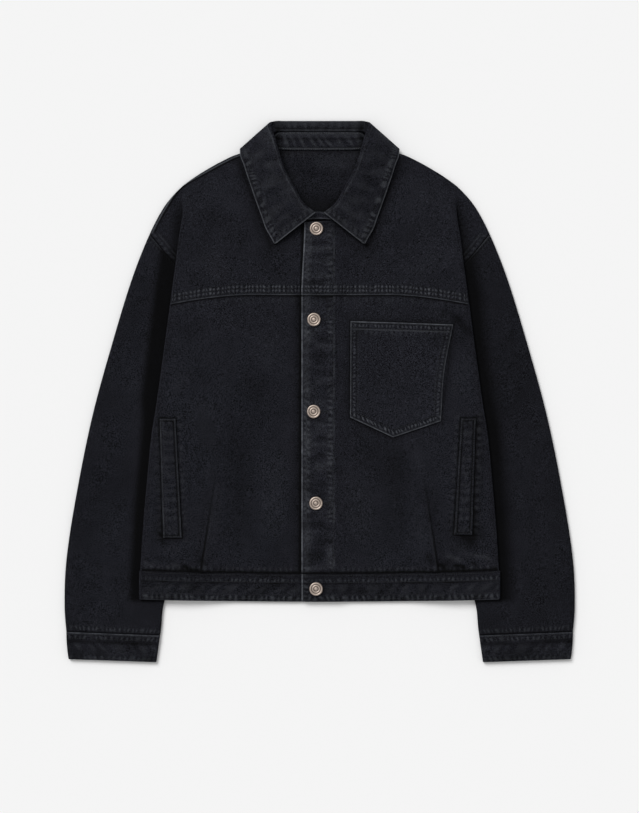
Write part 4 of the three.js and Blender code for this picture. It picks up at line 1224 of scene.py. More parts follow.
def sleeve(side):
    """The sleeve: a flattened tube from the armhole to the cuff, its first stations bent along the armhole. It
    starts with its seam allowance, a thinner ring tucked in between the yoke and the back."""
    s = np.concatenate([[0, 0], (np.arange(181) / 180) ** 1.1])
    tucked = (np.arange(len(s)) < 2)[:, None]
    outer_y = lerp(SHOULDER[0], CUFF_TOP_OUTER, s)
    inner_y = lerp(ARMPIT[0], CUFF_TOP_INNER, s)
    first_x = inner_edge(lerp(ARMPIT[0], CUFF_TOP_INNER, SLEEVE_FIRST))
    inner_x = np.where(s < SLEEVE_FIRST, lerp(ARMPIT[1], first_x, s / SLEEVE_FIRST), inner_edge(inner_y))
    inner = np.stack([inner_x, inner_y], 1)
    outer = np.stack([outer_edge(outer_y), outer_y], 1)
    inner[0] += TUCKED_IN
    outer[0] += TUCKED_IN
    thick = lerp(ARMHOLE_THICK, SLEEVE_THICK, ease(s / 0.12))
    thick[:2] = TUCKED_THICK
    straight = lambda share: lerp(ARMPIT[0], SHOULDER[0], share)
    bent = lambda share: armhole_height(lerp(ARMPIT[1], SHOULDER[1], share)) - straight(share)
    bow = lambda share: bent(share) * ((1 - s) ** 6)[:, None]
    relief = lambda share: sleeve_relief(side, s, share)
    faces, share, upper = flat_tube(side, inner, outer, thick, bow, CLOTH, SLEEVE_SECTION, relief)
    for face in faces:
        face[:2, :, 2] += (ARMHOLE_THICK - TUCKED_THICK) / 2
    x, y = np.abs(faces[0][..., 0]), faces[0][..., 1]
    run, across = (s * SLEEVE_RUN)[:, None] + 0 * share, share * SLEEVE_WIDE
    wear_and_highlight = upper * (0.38 if side > 0 else 0.20) * bell(run - 0.8, 1.0) * ~tucked
    # The body's painted shadow on the sleeve beside the side fold
    shadow = ease((y - HEM + 2) / 6) * ease((SHOULDER_POINT - y) / 10)
    deep, flat, fade = (0.92, lerp(7, 16, ease((y + 60) / 60)), 14) if side < 0 else (0.80, 4, 28)
    shadow = shadow * deep * (1 - ease((x - side_fold(y) - flat) / fade))
    ground = (0.20 if side < 0 else 0.32) + 0.08 * uneven(x, y, 30, 70, 203 + side)
    # Painted shade at the cuff seam and at the armhole seam
    seams = 0.6 * bell(SLEEVE_RUN - run - 0.8, 1.8) + 0.5 * bell(run - 3.4, 1.4)
    dark = upper * (seams + shadow + ground) + tucked
    rope = ropes((across, run - 554, 7, 3, 0.26 * upper), (across, run - 5, 6, 3, 0.16 * upper))
    cloth = np.stack([across, run], 2)
    return shell(f"sleeve_{SIDES[side]}_cloth", faces[0], faces[1], cloth, wear_and_highlight, dark, rope, ring=True)


def cuff_stations(t):
    """The cuff's inner and outer edge points at shares t of its width."""
    outer_y = lerp(CUFF_TOP_OUTER - SEAM_GAP, CUFF_FOOT_OUTER, t)
    inner_y = lerp(CUFF_TOP_INNER - SEAM_GAP, CUFF_FOOT_INNER, t)
    outer_x = lerp(outer_edge(np.full_like(t, CUFF_TOP_OUTER)), CUFF_FOOT_X, t * t)
    return np.stack([inner_edge(inner_y), inner_y], 1), np.stack([outer_x, outer_y], 1)


def cuff(side):
    """The cuff: a flattened band of doubled cloth, roped between its two rows of stitches and at its foot."""
    run = finer_ends(0, CUFF_RUN, 1.3, (0.3, 0.8), (0.3, 0.8))
    inner, outer = cuff_stations(run / CUFF_RUN)
    down = run[:, None]
    relief = lambda share: (
        0.35 * puckers(share * CUFF_WIDE, down - 6, 5, 5.5, 101 + side)
        + 0.35 * puckers(share * CUFF_WIDE, down - 33, 5, 6, 103 + side)
        + 0.5 * uneven(share * CUFF_WIDE, down, 22, 12, 105 + side) * bell(down - 19, 12)
        - 0.2
    )
    thick = CUFF_THICK - 0.9 * (bell(run, 0.5) + bell(CUFF_RUN - run, 0.6))
    faces, share, upper = flat_tube(side, inner, outer, thick, lambda share: 0, DOUBLE, CUFF_SECTION, relief)
    along, down = share * CUFF_WIDE, down + 0 * share
    frayed = 0.8 + 0.5 * uneven(along, 0, 7, 9, 109 + side)
    wear_and_highlight = upper * (0.22 if side > 0 else 0.42) * bell(down - 0.6, 0.9) * frayed + 0.2 * bell(CUFF_RUN - down, 0.9)
    blotch = held((0.36 if side < 0 else 0.42) + 0.40 * uneven(along, down, 17, 9, 107 + side)) * ease((down - 2) / 4)
    # Painted shade in lines across the cuff beside its seam and rows; the blotches are a darker uneven tone
    dark = 0.4 * bell(down - 3.2, 0.9) + 0.6 * bell(down - 12.6, 2.4) + 0.25 * bell(down - 31, 1.0) + blotch
    rope = ropes(
        (along, down - 6.2, 7.5, 2.8, 0.36 * upper), (along, down - 34, 9, 3.6, 0.28 * upper),
        (along + down, down - 20, 19, 7, 0.14 * upper),
    )
    cloth = np.stack([along, down], 2)
    piece = shell(f"cuff_{SIDES[side]}_cloth", faces[0], faces[1], cloth, wear_and_highlight, upper * dark, rope, ring=True)
    face = faces[0][:, CUFF_SECTION + 8: 2 * CUFF_SECTION + 9]
    stitches, up = Thread(), facing_up(face)
    for at in (2.4, 8.2, 34.6):
        row = np.interp(at, run, np.arange(len(run)))
        stitches.on_grid(face, up, row, np.linspace(2, CUFF_SECTION - 2, 90))
    return piece, stitches


def band_top(side, x):
    """Height of the waistband's outer face: the front's at the seam without its tuck, and the felled step."""
    return front_top(x, WAIST_SEAM) - tuck(x, WAIST_SEAM) + FELLED + band_rise(side, x)


def waistband():
    """The waistband: one strip from the overlapping front edge round the back to the edge under it. Each row is
    the front's height plus the felled step, a half turn at each side, and the back's underside."""
    run = finer_ends(0, WAISTBAND_RUN, 1.5, (0.3, 0.8), (0.3, 0.8))
    v = (run / WAISTBAND_RUN)[:, None]
    level = lerp(WAIST_SEAM, HEM, v)
    ones = np.ones_like(level)
    turn_at = float(side_fold(WAIST_SEAM)) + 1.2 - EDGE_OUT
    ramp = (inner_edge(level) - RAMP_END)[:, 0]
    floor = lambda x: back_floor(x, level) + DOUBLE / 2
    top_z = band_top(1, turn_at) - DOUBLE / 2
    middle_z = (top_z + floor(turn_at)) / 2
    turns = np.arange(1, 10) / 10 * np.pi
    roll, rise = turn_at + ones * ROLL * np.sin(turns), (top_z - middle_z) * np.cos(turns)
    span = np.concatenate([[0, 0.35, 0.9, 2.2], np.arange(4, 276, 1.9)]) + FRONT_EDGE
    over = ones * np.append(span[span < turn_at - 1], turn_at)
    below = columns([ones[:, 0] * turn_at, ramp, ramp - RAMP, 0 * ramp], [10, 24, 22])
    under = ones * np.append(np.arange(turn_at, UNDER_EDGE + 1, -2.2), [UNDER_EDGE + 0.4, UNDER_EDGE])
    x = np.concatenate([over, roll, below, -below[:, -2::-1], -roll, -under], 1)
    z = [band_top(1, over) - DOUBLE / 2, middle_z + rise, floor(below), floor(below)[:, -2::-1], middle_z - rise]
    z = np.concatenate(z + [band_top(-1, under) - DOUBLE / 2], 1)
    place = np.arange(x.shape[1])[None, :]
    first, last = place < over.shape[1], place >= x.shape[1] - under.shape[1]
    front = first | last
    down = run[:, None] + 0 * x
    edge = np.where(first, x - FRONT_EDGE, np.where(last, -x - UNDER_EDGE, FAR))
    free = np.minimum(np.minimum(edge, down), WAISTBAND_RUN - down)
    relief = 0.30 * puckers(x, down - 7, 4.2, 6.0, 121) + 0.32 * puckers(x, down - 33.5, 4.5, 8.5, 123)
    relief += 0.4 * uneven(x, down, 26, 16, 125) * bell(down - 21, 11) - 0.25
    z = z + relief * front * ease((edge - 0.5) / 3)
    y = lerp(waist_seam(x) - SEAM_GAP / 2, hem_line(x), v)
    y = y + 1.6 * ease((6 - edge) / 6) * ease((down - 32) / 6.9) * first
    wear_and_highlight = 0.20 * bell(WAISTBAND_RUN - down - 0.4, 0.8) * (0.8 + 0.3 * uneven(x, 0, 9, 9, 127))
    wear_and_highlight += 0.02 * bell(down - 0.6, 0.9) + 0.75 * bell(edge - 0.4, 0.9)
    # Painted shade in lines along the waistband's seam and rows; below its upper row it has a darker uneven tone
    dark = 0.7 * bell(down - 13.4, 1.2) * (0.7 + 0.4 * uneven(x, 0, 20, 9, 135))
    dark += 0.34 * bell(down - 0.4, 1.3) + 0.25 * bell(down - 5.4, 1.0)
    dark += 0.20 + 0.40 * held(uneven(x + 0.5 * down, down, 17, 12, 137)) * ease((down - 12) / 4)
    strong = 0.75 + 0.5 * uneven(x, 0, 30, 9, 129)
    rope = ropes(
        (x, down - 9.2, 6.6, 2.6, 0.36 * strong * front), (x, down - 34, 8.5, 3.4, 0.38 * front),
        (x + 0.8 * down, down - 21, 22, 6, 0.12 * front), (down, edge - 6, 8, 4.0, 0.3 * front),
    )
    thick, middle = rounded(np.full_like(x, DOUBLE), free), np.stack([x, y, z], 2)
    piece = wall("waistband_cloth", middle, thick, middle[..., :2], wear_and_highlight * front, dark * front, rope)
    stitches = Thread()
    for side, start in ((1, FRONT_EDGE + 3), (-1, 34)):
        across = np.linspace(start, 244, 160)
        for share in (0.055, 0.30, 0.90):
            y = lerp(waist_seam(across), hem_line(across), share)
            stitches.on_side(lambda x, y, side=side: band_top(side, x), side, across, y)
    return piece, stitches


def curve_through(stations, t):
    """The chordal Catmull-Rom curve through a collar column and its mirror image, at shares t of its stations."""
    half = np.array(stations, float)
    points = np.concatenate([half * [-1, 1, 1], half[::-1]])
    points = np.concatenate([[2 * points[0] - points[1]], points, [2 * points[-1] - points[-2]]])
    place = t * (len(points) - 3)
    i = np.clip(np.floor(place).astype(int), 0, len(points) - 4)
    w = (place - i)[:, None]
    p0, p1, p2, p3 = (points[i + k] for k in range(4))
    d0, d1, d2 = (np.linalg.norm(b - a, axis=1, keepdims=True) for a, b in ((p0, p1), (p1, p2), (p2, p3)))
    m1 = ((p1 - p0) / d0 - (p2 - p0) / (d0 + d1) + (p2 - p1) / d1) * d1
    m2 = ((p2 - p1) / d1 - (p3 - p1) / (d1 + d2) + (p3 - p2) / d2) * d1
    w2, w3 = w * w, w**3
    return p1 * (2 * w3 - 3 * w2 + 1) + m1 * (w3 - 2 * w2 + w) + p2 * (3 * w2 - 2 * w3) + m2 * (w3 - w2)


def collar_places():
    """Even shares along the collar's stations, finer at its two front ends."""
    even = np.linspace(0, 1, 261)
    ends = np.array([0.0004, 0.0011, 0.002, 0.003])
    return np.unique(np.concatenate([even, ends, 1 - ends]))


def leaf_sections(t, seam, roll, edge, neck, over):
    """The leaf's middle surface: from the seam to the roll, a half turn tilted by how far the leaf is turned over,
    and a flat part that bows up a little; with the flat part's shares."""
    out = (roll - (neck + edge) / 2) * [1, 1, 0]
    out /= np.linalg.norm(out, axis=1, keepdims=True)
    left = np.where(t < 0.5, -1.0, 1.0)
    aside = np.stack([-out[:, 1] * left, out[:, 0] * left, 0 * t], 1)
    turn = (over * np.pi)[:, None]
    first = np.array([0, 0, 1.0]) * -np.cos(turn) + aside * np.sin(turn)
    centre = roll - out * LEAF_ROLL
    angle = (np.arange(LEAF_TURN) / (LEAF_TURN - 1) * np.pi)[None, :, None]
    arc = centre[:, None] + first[:, None] * LEAF_ROLL * np.cos(angle) + out[:, None] * LEAF_ROLL * np.sin(angle)
    to_arc = arc[:, 0] - seam
    to_arc /= np.linalg.norm(to_arc, axis=1, keepdims=True)
    inside = seam + to_arc * SEAM_GAP * (3 + 13 * np.sin(turn))
    under = lerp(inside[:, None], arc[:, :1], (np.arange(LEAF_UNDER) / LEAF_UNDER)[None, :, None])
    share = np.concatenate([np.arange(1, LEAF_FLAT) / LEAF_FLAT, [0.988, 0.995, 1.0]])
    flat = lerp(arc[:, -1:], edge[:, None], share[None, :, None])
    flat[..., 2] += 1.2 * np.sin(np.pi * share) * np.maximum(0, 1 - 2 * over)[:, None]
    return np.concatenate([under, arc, flat], 1), share


def collar_leaf():
    """The leaf: its sections along the collar, with the tips rounded and the cloth roped along its free edges."""
    t = collar_places()
    neck, seam, roll, edge = (curve_through(c, t) for c in (COLLAR_NECK, COLLAR_SEAM, COLLAR_ROLL, COLLAR_EDGE))
    over = np.interp(t, np.linspace(0, 1, 20), COLLAR_OVER + COLLAR_OVER[::-1])
    swell = ease((edge[:, 1] - 206) / 26) * ease((341 - edge[:, 1]) / 18) * (over < 0.5)
    edge[:, 0] += LEAF_SWELL * np.sign(edge[:, 0]) * swell
    middle, share = leaf_sections(t, seam, roll, edge, neck, over)
    place = np.arange(middle.shape[1])[None, :]
    across = np.linalg.norm(edge - roll, axis=1)[:, None]
    from_edge = np.full(middle.shape[:2], FAR)
    from_edge[:, LEAF_FROM:] = across * (1 - share)
    tips = middle[[0, -1], -1]
    lean = (tips - middle[[0, -1], LEAF_FROM])[:, :2]
    lean /= np.linalg.norm(lean, axis=1, keepdims=True)
    off = [middle[..., :2] - tip for tip in tips[:, :2]]
    gap = [np.abs(o[..., 0] * way[1] - o[..., 1] * way[0]) for o, way in zip(off, lean)]
    from_front = np.where((t < 0.25)[:, None], gap[0], np.where((t > 0.75)[:, None], gap[1], FAR))
    from_front = np.where(place < LEAF_UNDER, FAR, from_front)
    short = np.maximum(0, LEAF_ROUND - np.stack([from_edge, from_front], 2))
    far = np.hypot(short[..., :1], short[..., 1:])
    short *= np.maximum(0, far - LEAF_ROUND) / np.maximum(far, LEAF_ROUND)
    outward = ((edge - roll)[:, :2] / across)[:, None]
    half = (t < 0.5)[:, None]
    ahead = np.where(half, [-lean[0, 1], lean[0, 0]], [-lean[1, 1], lean[1, 0]])[:, None]
    ahead = ahead * np.where(ahead[..., :1] * np.where(half, 1, -1)[:, None] > 0, 1, -1)
    middle[..., :2] -= short[..., :1] * outward + short[..., 1:] * ahead
    free = np.minimum(from_edge, from_front)
    seen = (place >= LEAF_UNDER + LEAF_TURN // 2 + 1) * (over < 0.55)[:, None]
    run = np.concatenate([[0], np.cumsum(np.linalg.norm(np.diff(edge, axis=0), axis=1))])[:, None] + 0 * from_edge
    relief = 0.45 * puckers(run, from_edge - 6.5, 4.4, 5.4, 141)
    relief += 0.4 * puckers(from_edge, from_front - 6.0, 3.6, 6.0, 143) * (from_edge > 8)
    waves = uneven(run, from_edge, 26, 18, 145) * bell(from_edge - 28, 18)
    relief += 0.5 * waves * ease(from_edge / 10) * ease(from_front / 14)
    middle[..., 2] = np.maximum(middle[..., 2] + seen * relief, DOUBLE / 2)
    thick = rounded(np.full(free.shape, DOUBLE), free, 1.1)
    wear_and_highlight = 0.58 * bell(free - 0.5, 0.85) * (0.85 + 0.25 * uneven(run, free, 6, 5, 147))
    # A painted highlight along the leaf's roll
    wear_and_highlight += 0.14 * bell(from_edge - across, 2.5) * (1 + 0.6 * uneven(run, 0, 9, 9, 151))
    wear_and_highlight = seen * (wear_and_highlight + 0.05 * held(uneven(run, from_edge, 14, 12, 149)))
    # Painted shade in a line inside the free edges, over a darker uneven tone
    dark = seen * (0.45 * bell(free - 2.8, 0.9) + 0.08 + 0.18 * held(uneven(run, from_edge, 22, 16, 153)))
    x, y = np.abs(middle[..., 0]), middle[..., 1]
    rear = (over > 0.8)[:, None] * (place < LEAF_FROM)
    # Where the back of the leaf shows over the stand: a painted highlight along its top and painted shade below it
    wear_and_highlight += rear * (0.10 * ease((y - 368) / 8) + 0.26 * bell(y - 365, 0.9))
    dark += rear * (0.5 * bell(y - 367.4, 1.6) + 0.2)
    # The painted shadow of the roll at the collar's corners
    dark += 0.45 * ease((x - 51) / 7) * (over > 0.5)[:, None] * (place <= LEAF_UNDER + LEAF_TURN // 2)
    rope = ropes(
        (run * (1 + 0.15 * uneven(run, 0, 40, 9, 155)), from_edge - 7.2, 9.5, 4.2, 0.33 * seen),
        (from_edge, from_front - 6.5, 9.5, 4.2, 0.18 * seen * (from_edge > 9)),
        (run, from_edge - 30, 21, 16, 0.07 * seen), (middle[..., 0], y - 370, 12, 7, 0.13 * rear),
    )
    cloth = np.stack([run, np.minimum(from_edge, 80)], 2)
    piece = wall("collar_leaf_cloth", middle, thick, cloth, wear_and_highlight, dark, rope)
    stitches = Thread()
    up = normals(middle)
    up = up * np.sign(up[20, -10, 2])
    face = middle + up * (thick / 2)[..., None]
    shown = np.nonzero(over < 0.3)[0]
    flat = np.arange(len(share))
    for half in (shown[shown < len(t) // 2], shown[shown > len(t) // 2]):
        keep = half[from_front[half, -1] > 7.6]
        j = LEAF_FROM + np.array([np.interp(-7.6, -from_edge[k, LEAF_FROM:], flat) for k in keep])
        stitches.on_grid(face, up, keep, j)
    j = np.linspace(20, middle.shape[1] - 9, 60)
    quarter = np.arange(len(t) // 4)
    for near in (quarter, len(t) - 1 - quarter):
        i = np.array([np.interp(7.4, from_front[near, int(column)], near) for column in j])
        stitches.on_grid(face, up, i, j)
    return piece, stitches


def collar_stand():
    """The stand: sections from the neck seam to the leaf's seam along the collar, and its two crossing ends."""
    t = np.linspace(0, 1, 220)
    ends = np.array(STAND_ENDS, float)
    under = (ends * [-1, 1, 1] - [0, 0, STAND_END_DROP])[::-1]
    seams = (COLLAR_NECK, COLLAR_SEAM)
    rows = [np.concatenate([under[:, k], curve_through(c, t), ends[:, k]]) for k, c in enumerate(seams)]
    step = np.concatenate([[0], np.cumsum(np.linalg.norm(np.diff(rows[0], axis=0), axis=1))])
    run = np.linspace(0, step[-1], 260)
    neck, seam = (np.stack([np.interp(run, step, row[:, c]) for c in range(3)], 1) for row in rows)
    share = np.linspace(0, 1, 15)
    middle = lerp(neck[:, None], seam[:, None], share[None, :, None])
    height = np.linalg.norm(seam - neck, axis=1)[:, None] * share
    top, line = height[:, -1:] - height, run[:, None] + 0 * height
    inner = ease((middle[..., 1] - 335) / 6)
    ridge = puckers(line, height - 4, 4, 9, 161) + puckers(line, top - 5, 4, 10, 163)
    middle[..., 2] += 0.25 * ridge * inner
    wear_and_highlight = 0.22 * bell(height - 1.3, 0.9) + 0.10 * bell(top - 0.5, 0.8) + 0.05 * ease((height - 16.5) / 3)
    # Painted shade along the stand beside its seams, and at its corners the painted shadow of the leaf's roll
    dark = 0.5 * bell(height - 4.0, 1.1) + 0.55 * bell(height - 15.2, 1.5)
    dark += 0.5 * ease((np.abs(middle[..., 0]) - 50) / 8)
    thick = rounded(np.full_like(height, STAND), np.minimum(height, top) + 0.15)
    rope = ropes(
        (line, height - 1.5, 3.0, 0.9, 0.8 * inner), (line, top - 1.5, 3.0, 0.9, 0.8 * inner),
        (line + height * 0.6, height - 12, 13, 8, 0.20 * inner),
    )
    piece = wall("collar_stand_cloth", middle, thick, np.stack([line, height], 2), wear_and_highlight, dark * inner, rope)
    stitches = Thread()
    up = normals(middle)
    up = up * np.sign(up[130, 7, 2])
    face = middle + up * (thick / 2)[..., None]
    for column in (1.6, 13.0):
        stitches.on_grid(face, up, np.nonzero(neck[:, 1] > 336)[0], column)
    return piece, stitches


def chest_pocket():
    """The patch pocket: rows from its hem to its pointed foot, lying on the front's own face."""
    in_top, out_top, in_foot, out_foot = map(np.array, (POCKET_IN_TOP, POCKET_OUT_TOP, POCKET_IN_FOOT, POCKET_OUT_FOOT))
    depth, width = in_top[1] - in_foot[1], out_foot[0] - in_foot[0]
    v = (finer_ends(0, depth, 1.5, (0.4, 0.9, 1.6), (0.4, 0.9, 1.6)) / depth)[:, None]
    tip = POCKET_POINT[0] - in_foot[0]
    point = tip / width
    places = [finer_ends(0, tip, 1.5, (0.4, 0.9, 1.6), ()), finer_ends(tip, width, 1.5, (), (0.4, 0.9, 1.6))]
    u = np.unique(np.concatenate(places).round(4))[None, :] / width
    inner, outer = lerp(in_top, in_foot, v[..., None]), lerp(out_top, out_foot, v[..., None])
    outer[..., 0] -= POCKET_BEND * np.sin(np.pi * v) ** 1.5
    flat = lerp(inner, outer, u[..., None])
    to_tip = lerp(in_foot[1], POCKET_POINT[1], u / point)
    foot = np.where(u < point, to_tip, lerp(POCKET_POINT[1], out_foot[1], (u - point) / (1 - point)))
    x, y = flat[..., 0], flat[..., 1] + (foot - lerp(in_foot[1], out_foot[1], u)) * v**2.2
    wide = outer[..., 0] - inner[..., 0]
    from_side = np.minimum(u, 1 - u) * wide
    from_foot = (y - foot) * np.where(u < point, 0.906, 0.945)
    from_top = lerp(in_top[1], out_top[1], u) - y
    free = np.minimum(np.minimum(from_side, from_foot), from_top)
    relief = 0.5 * uneven(x, y, 44, 52, 171) * ease(from_side / 30) * ease(from_foot / 30) * ease((from_top - 8) / 30)
    relief += 0.5 * bell(u - 0.5, 0.35) * bell(from_top, 14) + 0.3 * puckers(x, from_top - 7.5, 3.2, 6.2, 173)
    relief += 0.3 * puckers(x + 0.35 * y, from_foot - 6.5, 3.0, 4.6, 175)
    relief += 0.22 * puckers(y, from_side - 6.5, 3.0, 5.6, 177)
    z = front_face(1, x, y) + SEAM_GAP + POCKET_THICK + relief * ease(free / 2)
    thick = rounded(POCKET_THICK + 0.5 * ease((POCKET_HEM - from_top) / 1.5), free, 0.8)
    strong = np.where(from_side < np.minimum(from_foot, from_top), 0.42, 0.8)
    wear_and_highlight = 0.60 * strong * bell(free - 0.4, 0.85) * (0.8 + 0.3 * uneven(x + y, x - y, 7, 7, 179))
    under_hem = (from_foot > 10) * (from_top > 13)
    wear_and_highlight += 0.03 * bell(from_side - 11.0, 0.9) * under_hem + 0.20 * bell(from_top - 10.6, 0.9) * (from_side > 2)
    # Painted shade beside the rows of stitches and inside the free edges, and soft painted shade towards the upper
    # corners
    dark = 0.4 * bell(from_top - 8.6, 0.9) + 0.55 * bell(from_foot - 9.2, 1.0) * (from_side > 9)
    dark += 0.5 * bell(free - 2.6, 0.9) + 0.5 * bell(from_side - 8.4, 0.9) * under_hem
    dark += 0.42 * bell(from_side - 14, 16) * bell(from_top - 18, 10) * (0.7 + 0.6 * uneven(x, y, 9, 7, 181))
    rope = ropes(
        (x, from_top - 5.2, 5.4, 2.2, 0.34), (x + 0.4 * y, from_foot - 5.8, 4.9, 2.3, 0.52),
        (y, from_side - 5.4, 5.2, 2.0, 0.27), (x, from_top - 15, 7, 3.0, 0.10),
    )
    middle = np.stack([x, y, z - thick / 2], 2)
    piece = wall("chest_pocket_cloth", middle, thick, np.stack([x, y], 2), wear_and_highlight, dark, rope)
    face = np.stack([x, y, z], 2)
    up, stitches = facing_up(face), Thread()
    cols, rows = np.arange(x.shape[1]), np.arange(x.shape[0])
    for inset in (1.9, 9.9):
        across = cols[from_side[-1] > inset * 0.98]
        stitches.on_grid(face, up, [np.interp(-inset, -from_foot[:, c], rows) for c in across], across)
        down = rows[from_foot[:, 2] > inset]
        run = np.array([np.interp(inset, u[0] * wide[r, 0], cols) for r in down])
        for j in (run, cols[-1] - run):
            stitches.on_grid(face, up, down, j)
    for inset in (1.9, 9.6):
        across = cols[from_side[0] > 1.6]
        stitches.on_grid(face, up, [np.interp(inset, from_top[:, c], rows) for c in across], across)
    return piece, stitches


def welt(row):
    """A side pocket's welt: a narrow strip on the front's own face, stitched all round."""
    side = row["side"]
    depth, width = row["top"] - row["foot"], row["out_top"] - row["in_top"]
    v = (finer_ends(0, depth, 1.6, (0.4, 0.9, 1.8), (0.4, 0.9, 1.8)) / depth)[:, None]
    u = (finer_ends(0, width, 1.3, (0.4, 0.9, 1.8), (0.4, 0.9, 1.8)) / width)[None, :]
    x = lerp(lerp(row["in_top"], row["in_foot"], v), lerp(row["out_top"], row["out_foot"], v), u)
    y = lerp(row["top"], row["foot"], v) + 0 * u
    from_side, from_end = np.minimum(u, 1 - u) * width + 0 * v, np.minimum(v, 1 - v) * depth + 0 * u
    free = np.minimum(from_side, from_end)
    relief = 0.2 * puckers(y, from_side - 3, 2.6, 7, 191 + side) + 0.3 * uneven(x, y, 16, 30, 193 + side)
    z = front_face(side, x, y) + SEAM_GAP + WELT_THICK + relief * ease(free / 3)
    thick = rounded(np.full_like(x, WELT_THICK), free, 0.8)
    line = bell(from_side - 0.5, 0.8) + 0.35 * bell(from_end - 0.5, 0.8)
    wear_and_highlight = (0.17 if side < 0 else 0.07) * line * (0.8 + 0.5 * uneven(x, y, 9, 12, 195))
    wear_and_highlight += 0.03 * bell((1 - u) * width - 4.2, 1.1) * (side < 0)
    near = np.minimum(u * width if side < 0 else from_side, from_end)
    # Painted shade in a line inside the edges, over a darker uneven tone
    dark = 0.8 * bell(near - 2.8, 1.0) + 0.12 + 0.20 * held(uneven(x, y, 9, 16, 197))
    rope = ropes((y, from_side - 7, 12, 3.5, 0.11), (x, from_end - 5, 8, 4, 0.14))
    name, middle = f"side_pocket_welt_{SIDES[side]}_cloth", np.stack([side * x, y, z - thick / 2], 2)
    piece = wall(name, middle, thick, np.stack([x, y], 2), wear_and_highlight, dark, rope)
    face = np.stack([side * x, y, z], 2)
    up, stitches = facing_up(face), Thread()
    cols, rows = np.arange(x.shape[1]), np.arange(x.shape[0])
    col, row = np.interp(1.7, u[0] * width, cols), np.interp(1.9, v[:, 0] * depth, rows)
    for column in (col, cols[-1] - col):
        stitches.on_grid(face, up, np.linspace(row, rows[-1] - row, 80), column)
    for place in (row, rows[-1] - row):
        stitches.on_grid(face, up, place, np.linspace(col, cols[-1] - col, 16))
    return piece, stitches


def body_stitches():
    """The rows on the yokes' lapped edges and on the front band."""
    stitches = Thread()
    for side, start in ((1, FRONT_EDGE + 2.5), (-1, 36)):
        across = np.linspace(start, 205, 170)
        for up_by in (3.0, 8.7):
            face = lambda x, y, side=side: yoke_face(side, x, y)
            stitches.on_side(face, side, across, yoke_seam(across) + up_by)
    ends = ((yoke_face, YOKE_SEAM + 14, NECK_FRONT - 8, 60), (front_face, WAIST_SEAM + 2, YOKE_SEAM - 3, 150))
    for height, low, high, count in ends:
        stitches.on_side(lambda x, y, h=height: h(1, x, y), 1, BAND_STITCH, np.linspace(low, high, count))
    return stitches


BUTTON_SECTION = [
    (0.0, 3.05, 0.1), (0.9, 3.05, 0.1), (1.8, 2.95, 0.2), (2.5, 2.6, 0.5), (2.9, 2.1, 1.0), (3.2, 1.75, 1.0),
    (3.6, 1.8, 0.7), (4.2, 2.25, 0.1), (4.8, 2.35, 0.0), (5.4, 2.2, 0.1), (5.9, 1.75, 0.9), (6.3, 1.65, 1.0),
    (6.7, 1.85, 0.7), (7.3, 2.55, 0.05), (7.9, 2.75, 0.0), (8.5, 2.6, 0.0), (9.0, 2.15, 0.05), (9.35, 1.5, 0.2),
    (9.4, 0.9, 0.5), (9.1, 0.35, 0.9), (8.4, 0.0, 1.0), (4.0, 0.0, 1.0), (0.0, 0.0, 1.0),
]


def button(index, x, y):
    """A shank button's face: its section of a rim, a groove, a plain ring, a groove and a low dome, carried round
    a full turn."""
    sides = 56
    radius, height, groove = np.array(BUTTON_SECTION).T
    turn = np.arange(sides) / sides * 2 * np.pi
    base = ARMHOLE_THICK + BAND_RISE + (FELLED if y < WAIST_SEAM else 0) + SEAM_GAP
    r, z = radius[1:-1, None], base + height[1:-1, None] + 0 * turn
    points = np.stack([x + r * np.cos(turn), y + r * np.sin(turn), z], 2).reshape(-1, 3)
    rings = len(radius) - 3
    a = (np.arange(rings)[:, None] * sides + np.arange(sides)).ravel()
    b = (np.arange(rings)[:, None] * sides + (np.arange(sides) + 1) % sides).ravel()
    top, last, k = len(points), rings * sides, np.arange(0, sides, 2)
    faces = np.concatenate([
        np.stack([a, b, b + sides, a + sides], 1), np.stack([0 * k + top, (k + 2) % sides, k + 1, k], 1),
        np.stack([0 * k + top + 1, last + k, last + k + 1, last + (k + 2) % sides], 1),
    ])
    points = np.concatenate([points, [[x, y, base + height[0]], [x, y, base]]])
    dark = np.concatenate([np.repeat(groove[1:-1], sides), [0.1, 1.0]])
    thing = mesh_of(f"button_{index}_metal", points, faces, marks={"dark": dark})
    thing.data.materials.append(rubbed_metal())
    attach(thing, "root")
    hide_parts(f"button_{index}")
    return thing


def buttonhole(thread, x, y, height):
    """A worked buttonhole: close bars of thread across a slit that runs out from under the button."""
    half, slit, wide, bar = 9.5, 0.35, 1.5, 0.62
    centre = x + 9.0
    place = centre + np.linspace(-half, half, 22)
    for edge in (-1, 1):
        start, up = on_face(height, place, y + edge * slit)
        thread.rods(start, on_face(height, place, y + edge * wide)[0], up, bar)
    angle = np.linspace(-np.pi / 2, np.pi / 2, 7)
    start, up = on_face(height, centre + half + 0.3 * np.cos(angle), y + slit * np.sin(angle))
    end = on_face(height, centre + half + wide * np.cos(angle), y + wide * np.sin(angle))[0]
    thread.rods(start, end, up, bar)


# ---- settings and operators


